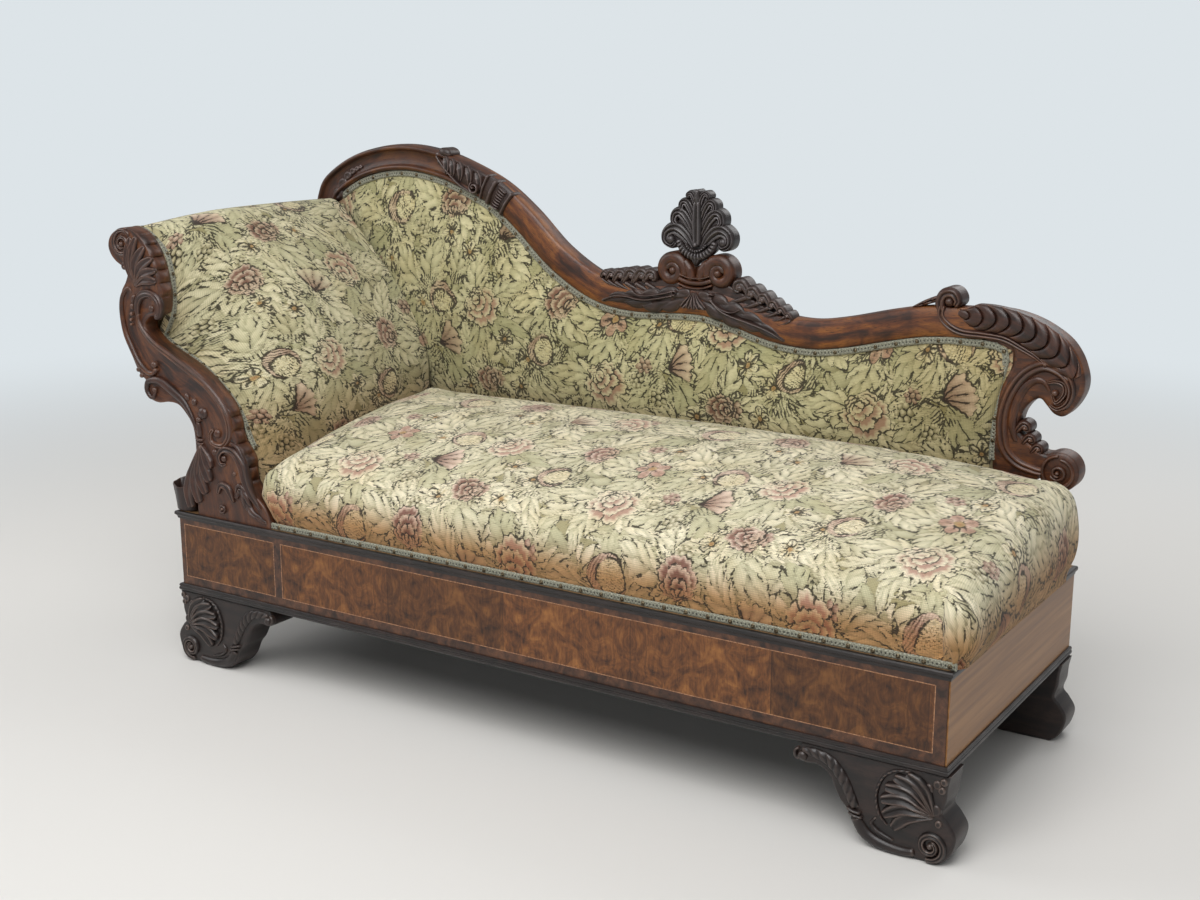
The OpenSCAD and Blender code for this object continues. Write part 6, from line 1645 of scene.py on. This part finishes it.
def foot_parts(name, right, carved):
    """Parts of one foot, in the place of its solid."""
    low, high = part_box(name)
    start, way = (high.x, -1) if right else (low.x, 1)

    def at(shares):
        return (start, 0) + pts(shares) * (way * FOOT_LEN, FOOT_H)

    outline = np.vstack([smooth(at(FOOT_OUTER_SHARES)), smooth(at(FOOT_INNER_SHARES))])
    outline = ring(outline, 259)
    outline[:, 1] = np.clip(outline[:, 1], low.z, high.z)
    front = low.y + (5 * MM if carved else 0)
    parts = [slab(outline, front, high.y, 5 * MM, 4 * MM, 7)]
    if not carved:
        return parts
    hand = 1 if right else -1
    y = front + 1 * MM
    parts += [
        stroke(at(".95 .9, .9 .912, .84 .9, .775 .865, .72 .78, .672 .66, .635 .53, .6 .4"),
               (6, 9, 10, 10, 9, 8), (6, 8, 9, 8, 8), y, roped(9, 0.5 * hand), across=19),
        boss(at(".945 .845"), 9, 9, 9, y),
        stroke(at(".965 .93, .99 .89, .985 .83, .955 .8"), (3, 4, 3), (6, 7, 6), y),
        stroke(at(".655 .4, .61 .375, .56 .36"), (3, 3.5, 3), (8, 10, 8), y),
        stroke(at(".645 .35, .6 .33, .55 .315"), (3, 3.5, 3), (8, 10, 8), y),
        stroke(at(".595 .31, .575 .235, .535 .15, .47 .09, .39 .062, .3 .058, .23 .08"),
               (9, 11, 10, 9, 8, 7), (8, 9, 8, 8, 7), y, ridged(1, 0.1), across=19),
        stroke(at(".47 .36, .5 .28, .45 .2, .36 .15"), (2, 4, 4, 2), (4, 6, 4), y)]
    centre = at(".14 .2")[0]
    line = spiral((0, 0), 25, 7, 1.55, -110)
    line = centre + line * MM * (hand, 1)
    parts.append(stroke(line, (5, 6.5, 7, 6, 4.5), (7, 8, 9, 9), y, ridged(2, 0.3), curve=False))
    parts.append(boss(centre, 6, 6, 9, y))
    root = at(".13 .52")[0]
    for tip, depth in (((0.3, 0.93), 9), ((0.375, 0.87), 10), ((0.425, 0.74), 12), ((0.447, 0.59), 13),
                       ((0.43, 0.42), 12), ((0.37, 0.29), 10)):
        end = at([tip])[0]
        step = end - root
        mid = root + step * 0.55 + np.array([-step[1], step[0]]) * 0.14 * -hand
        parts.append(stroke([root, mid, end], (3, 8, 12, 13, 8), (4, depth, depth + 1, depth - 1), y, cupped,
                            across=17))
    parts.append(stroke(at(".28 .955, .37 .93, .44 .82, .475 .62, .455 .42, .4 .3"),
                        (2, 3, 3, 3, 2), (4, 6, 6, 6, 4), y, roped(14, 0.2 * hand, 0.35)))
    for share, r in (((0.229, 0.877), 7), ((0.168, 0.822), 8), ((0.117, 0.887), 7), ((0.08, 0.93), 6),
                     ((0.09, 0.835), 6), ((0.12, 0.6), 9), ((0.1, 0.46), 6)):
        parts.append(boss(at([share]), r, r * 1.1, 6, y, dent=0.4))
    return parts


for name, right, carved in (("foot_front_right", True, True), ("foot_front_left", False, True),
                            ("foot_back_right", True, False), ("foot_back_left", False, False)):
    build("carved_" + name, foot_parts(name, right, carved), foot_walnut, name)

# %% [markdown]
# ## Veneers and plain parts
#
# The front is cut from one burr, sawn into leaves that lie side by side. Each leaf has its own
# tone, and the string inlay between field and crossbanding is boxwood, darkened by stain and age.
# The veneer of the ends is plain walnut.

# %% Burr, inlay and plain wood
def burr(name, tones, scale, leaf, start=-0.48):
    """Burr walnut: swirls from distorted noise, small dark eyes and fine veins. The place along X is
    folded at each joint, so that neighbouring leaves mirror each other. Each has its own tone."""
    made = _, tree, _ = new_material(name, Coat_Weight=0.08, Coat_Roughness=0.2, Roughness=0.45,
                                     Specular_IOR_Level=0.4)
    x, y, z = add(tree, "SeparateXYZ", add(tree, "TexCoord", out="Object")).node.outputs
    run = add(tree, "subtract", x, start)
    place = add(tree, "CombineXYZ", add(tree, "pingpong", run, leaf), y, z)
    swirl = add(tree, "TexNoise", place, 17.0 * scale, 7.0, 0.66, Distortion=1.7)
    drawn_up = add(tree, "Mapping", place, Scale=(1.0, 1.0, 0.22))
    fine = add(tree, "TexNoise", drawn_up, 170.0 * scale, 4.0, Distortion=0.9)
    eyes = add(tree, "TexVoronoi", place, 62.0 * scale)
    step = add(tree, "divide", run, leaf)
    whole = add(tree, "floor", step)
    level = add(tree, "TexWhiteNoise", W=whole, noise_dimensions="1D")
    joint = add(tree, "subtract", step, whole)
    dark, mid, light = tones
    mixed = add(tree, "add", swirl, add(tree, "multiply_add", fine, 0.42, -0.21))
    colour = add(tree, "ValToRGB", mixed, stops=((0.3, dark), (0.5, mid), (0.74, light)))
    colour = add(tree, "mix", add(tree, "range", eyes, 0.08, 0.24, 0.4, 0.0), colour, dark)
    colour = add(tree, "mix", add(tree, "range", joint, 0.0, 0.012, 0.85, 0.0), colour, dark)
    colour = add(tree, "tint", 1.0, colour, add(tree, "multiply_add", level, 0.5, 0.72))
    return surfaced(made, colour, add(tree, "Bump", Height=fine, Strength=0.12, Distance=0.3 * MM))


def plain(name, colours, scale, rough, metal=0.0, stretch=(1, 1, 1), bump_by=0.2):
    """A plain finish: three tones of one noise, with a little bump."""
    made = _, tree, _ = new_material(name, Roughness=rough, Metallic=metal)
    place = add(tree, "TexCoord", out="Object")
    noise = stretched_noise(tree, place, tuple(scale * q for q in stretch), 4.0, 0.6)
    colour = add(tree, "ValToRGB", noise, stops=tuple(zip((0.35, 0.5, 0.65), colours)))
    return surfaced(made, colour, add(tree, "Bump", Height=noise, Strength=bump_by, Distance=0.3 * MM))


front_burr = burr("burr_walnut", ("#2f1b10", "#60391c", "#8a5a2e"), 1.15, 0.27)
end_veneer = plain("end_walnut_veneer", ("#78502a", "#8b5f32", "#9a6d3e"), 90, 0.36, 0.0, (1, 0.03, 1), 0.08)
cross_walnut = walnut("crossbanding_walnut", ("#25140b", "#482a19", "#633d24"), uv=False, rough=0.42, swap=True)
string_wood = plain("boxwood_string", ("#6e4a32", "#95694a", "#b0835e"), 300, 0.45)
raw_beech = plain("raw_beech", ("#6b4c30", "#83633f", "#98764e"), 110, 0.65, 0.0, (0.04, 1, 1))
dull_steel = plain("dull_steel", ("#5a5b5c", "#77787a", "#8f9092"), 400, 0.45, 1.0)
jute_web = plain("jute", ("#7d6846", "#9a8258", "#b39a6e"), 900, 0.95)
back_walnut = walnut("back_board_walnut", CARVED_TONES, uv=False, rough=0.5)
end_walnut = walnut("head_end_walnut", RED_TONES, uv=False, rough=0.45, swap=True)
FINISHES = {name: finish for finish, names in (
    (front_burr, "front_veneer_leaves"), (cross_walnut, "front_crossbanding"), (string_wood, "front_stringing"),
    (end_veneer, "foot_end_veneer"), (end_walnut, "head_end_veneer"), (moulding_front, "front_lip front_bead"),
    (moulding_end, "foot_end_lip foot_end_bead head_end_lip head_end_bead"),
    (inner_walnut, "back_bottom_rail head_ledge"), (dull_steel, "foot_screws seat_springs"),
    (jute_web, "seat_webbing seat_hessian seat_hair_pad head_webbing back_webbing"),
    (back_walnut, "head_back_board"), (polished_walnut, "back_foot_post")) for name in names.split()}
print("finishes named:", len(FINISHES))

# %% [markdown]
# ## Outside covers
#
# Plain repp closes the outside of the head end and of the back, and black cotton keeps dust out
# below. Each is a thin sheet tacked round its edge. The flat ones are rings round a middle point,
# so that the puckers between the tacks can fade inward.

# %% Outside covers
CLOTH_T = 1.2 * MM
outside_repp = woven("outside_repp", False)
black_cotton = woven("black_cotton", False, ("#2a2927", "#1a1918"), 4 * MM)


def flat_sheet(name, edge, middle, slack, stand, material, slot, node, pucker=1.2 * MM, pitch=38 * MM):
    """A tacked sheet with a flat outline, as a closed thin skin. Slack grows as 1 less the squared
    share of the way out, and puckers fade from the edge. Stand turns plane points and heights
    into space."""
    outline = ring(edge, 420)
    share = np.linspace(0.02, 1, 26)[:, None]
    length = arc_lengths(np.vstack([outline, outline[:1]]))[-1]
    run = np.linspace(0, 1, 420, endpoint=False) * length
    waves = round(run[-1] / pitch) * 2 * np.pi / run[-1]
    off = slack * (1 - share**2) + pucker * (1 + np.sin(run * waves)) * share**6 * (1 - share**24)
    flat = middle + (outline - middle) * share[..., None]
    points, faces, _ = skin(np.concatenate([stand(flat, off + CLOTH_T), stand(flat, off)[::-1]]))
    keep = [0, 2] if slot == "tapestry" else [0, 1]
    piece = build(name, [(points, faces, [points[f][..., keep] for f in faces])], material, node)


COVER_SHARES = ("-.6 .858, -.66 .81, -.74 .765, -.8 .715, -.79 .665, -.73 .605, -.61 .545, -.5 .487, "
                "-.36 .435, -.2 .413, 0 .415, .11 .395, .19 .345, .23 .3, .237 .25, .233 .16, "
                ".225 .08, .225 0")
cover_line = even(smooth(head_points(COVER_SHARES)), 150)
across = np.linspace(HEAD_Y0, CREST_Y0 - PLAY, 90)
along = arc_lengths(cover_line)[:, None]
share = ((across - HEAD_Y0) / (across[-1] - HEAD_Y0))[None, :]
slack = 3 * MM * np.sin(np.pi * share) * np.sin(np.pi * along / along[-1])
puckers = (1 + np.sin(along * 2 * np.pi / (40 * MM))) * np.abs(2 * share - 1) ** 8 * np.sin(np.pi * share) ** 0.3
off = slack + 0.9 * MM * puckers
outer, inner = (upright(off_line(cover_line, -left_of(cover_line), q), across) for q in (off + CLOTH_T, off))
head_sheet = build("head_outer_cloth", [skin(np.concatenate([outer, inner[:, ::-1]], 1))], outside_repp,
                   "head_outside_cover")

back_edge = np.vstack([
    beside(crest_line, [-3 * MM])[8:-8], scroll_points(".7 .85, .72 .5"),
    [((post_low.x + post_high.x) / 2, BASE_TOP + 1 * MM), (float(head_x(0.4)), BASE_TOP + 1 * MM)],
    beside(cover_line, 12 * MM)[::-1]])
flat_sheet("back_outer_cloth", back_edge, (-0.25, 0.6), 5 * MM, lambda flat, off: upright(flat, CREST_Y1 + off),
           outside_repp, "tapestry", "back_outside_cover")

# The dust cover is a rectangle with a notch at each corner, for the corner block
NOTCH = 74 * MM
dust_low, dust_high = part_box("dust_cloth")
dust_half = np.array((dust_high.x - dust_low.x, dust_high.y - dust_low.y)) / 2
dust_middle = np.array((dust_low.x + dust_high.x, dust_low.y + dust_high.y)) / 2
dust_edge = np.vstack([(steps * NOTCH - dust_half) * (-sx, -sy) for sx, sy, steps in (
    (-1, -1, pts("0 1, 1 1, 1 0")), (1, -1, pts("1 0, 1 1, 0 1")), (1, 1, pts("0 1, 1 1, 1 0")),
    (-1, 1, pts("1 0, 1 1, 0 1")))])
flat_sheet("dust_cover", dust_edge + dust_middle, dust_middle, 7 * MM,
           lambda flat, off: np.stack([*np.moveaxis(flat, -1, 0), dust_high.z - off], -1), black_cotton,
           "black_cloth", "dust_cloth")

# %% Finishes of the other solids
for name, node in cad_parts.items():
    if not node.hide_render:
        node.data.materials.clear()
        node.data.materials.append(FINISHES.get(name, raw_beech))
print("solids that show:", sum(not node.hide_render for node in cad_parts.values()))
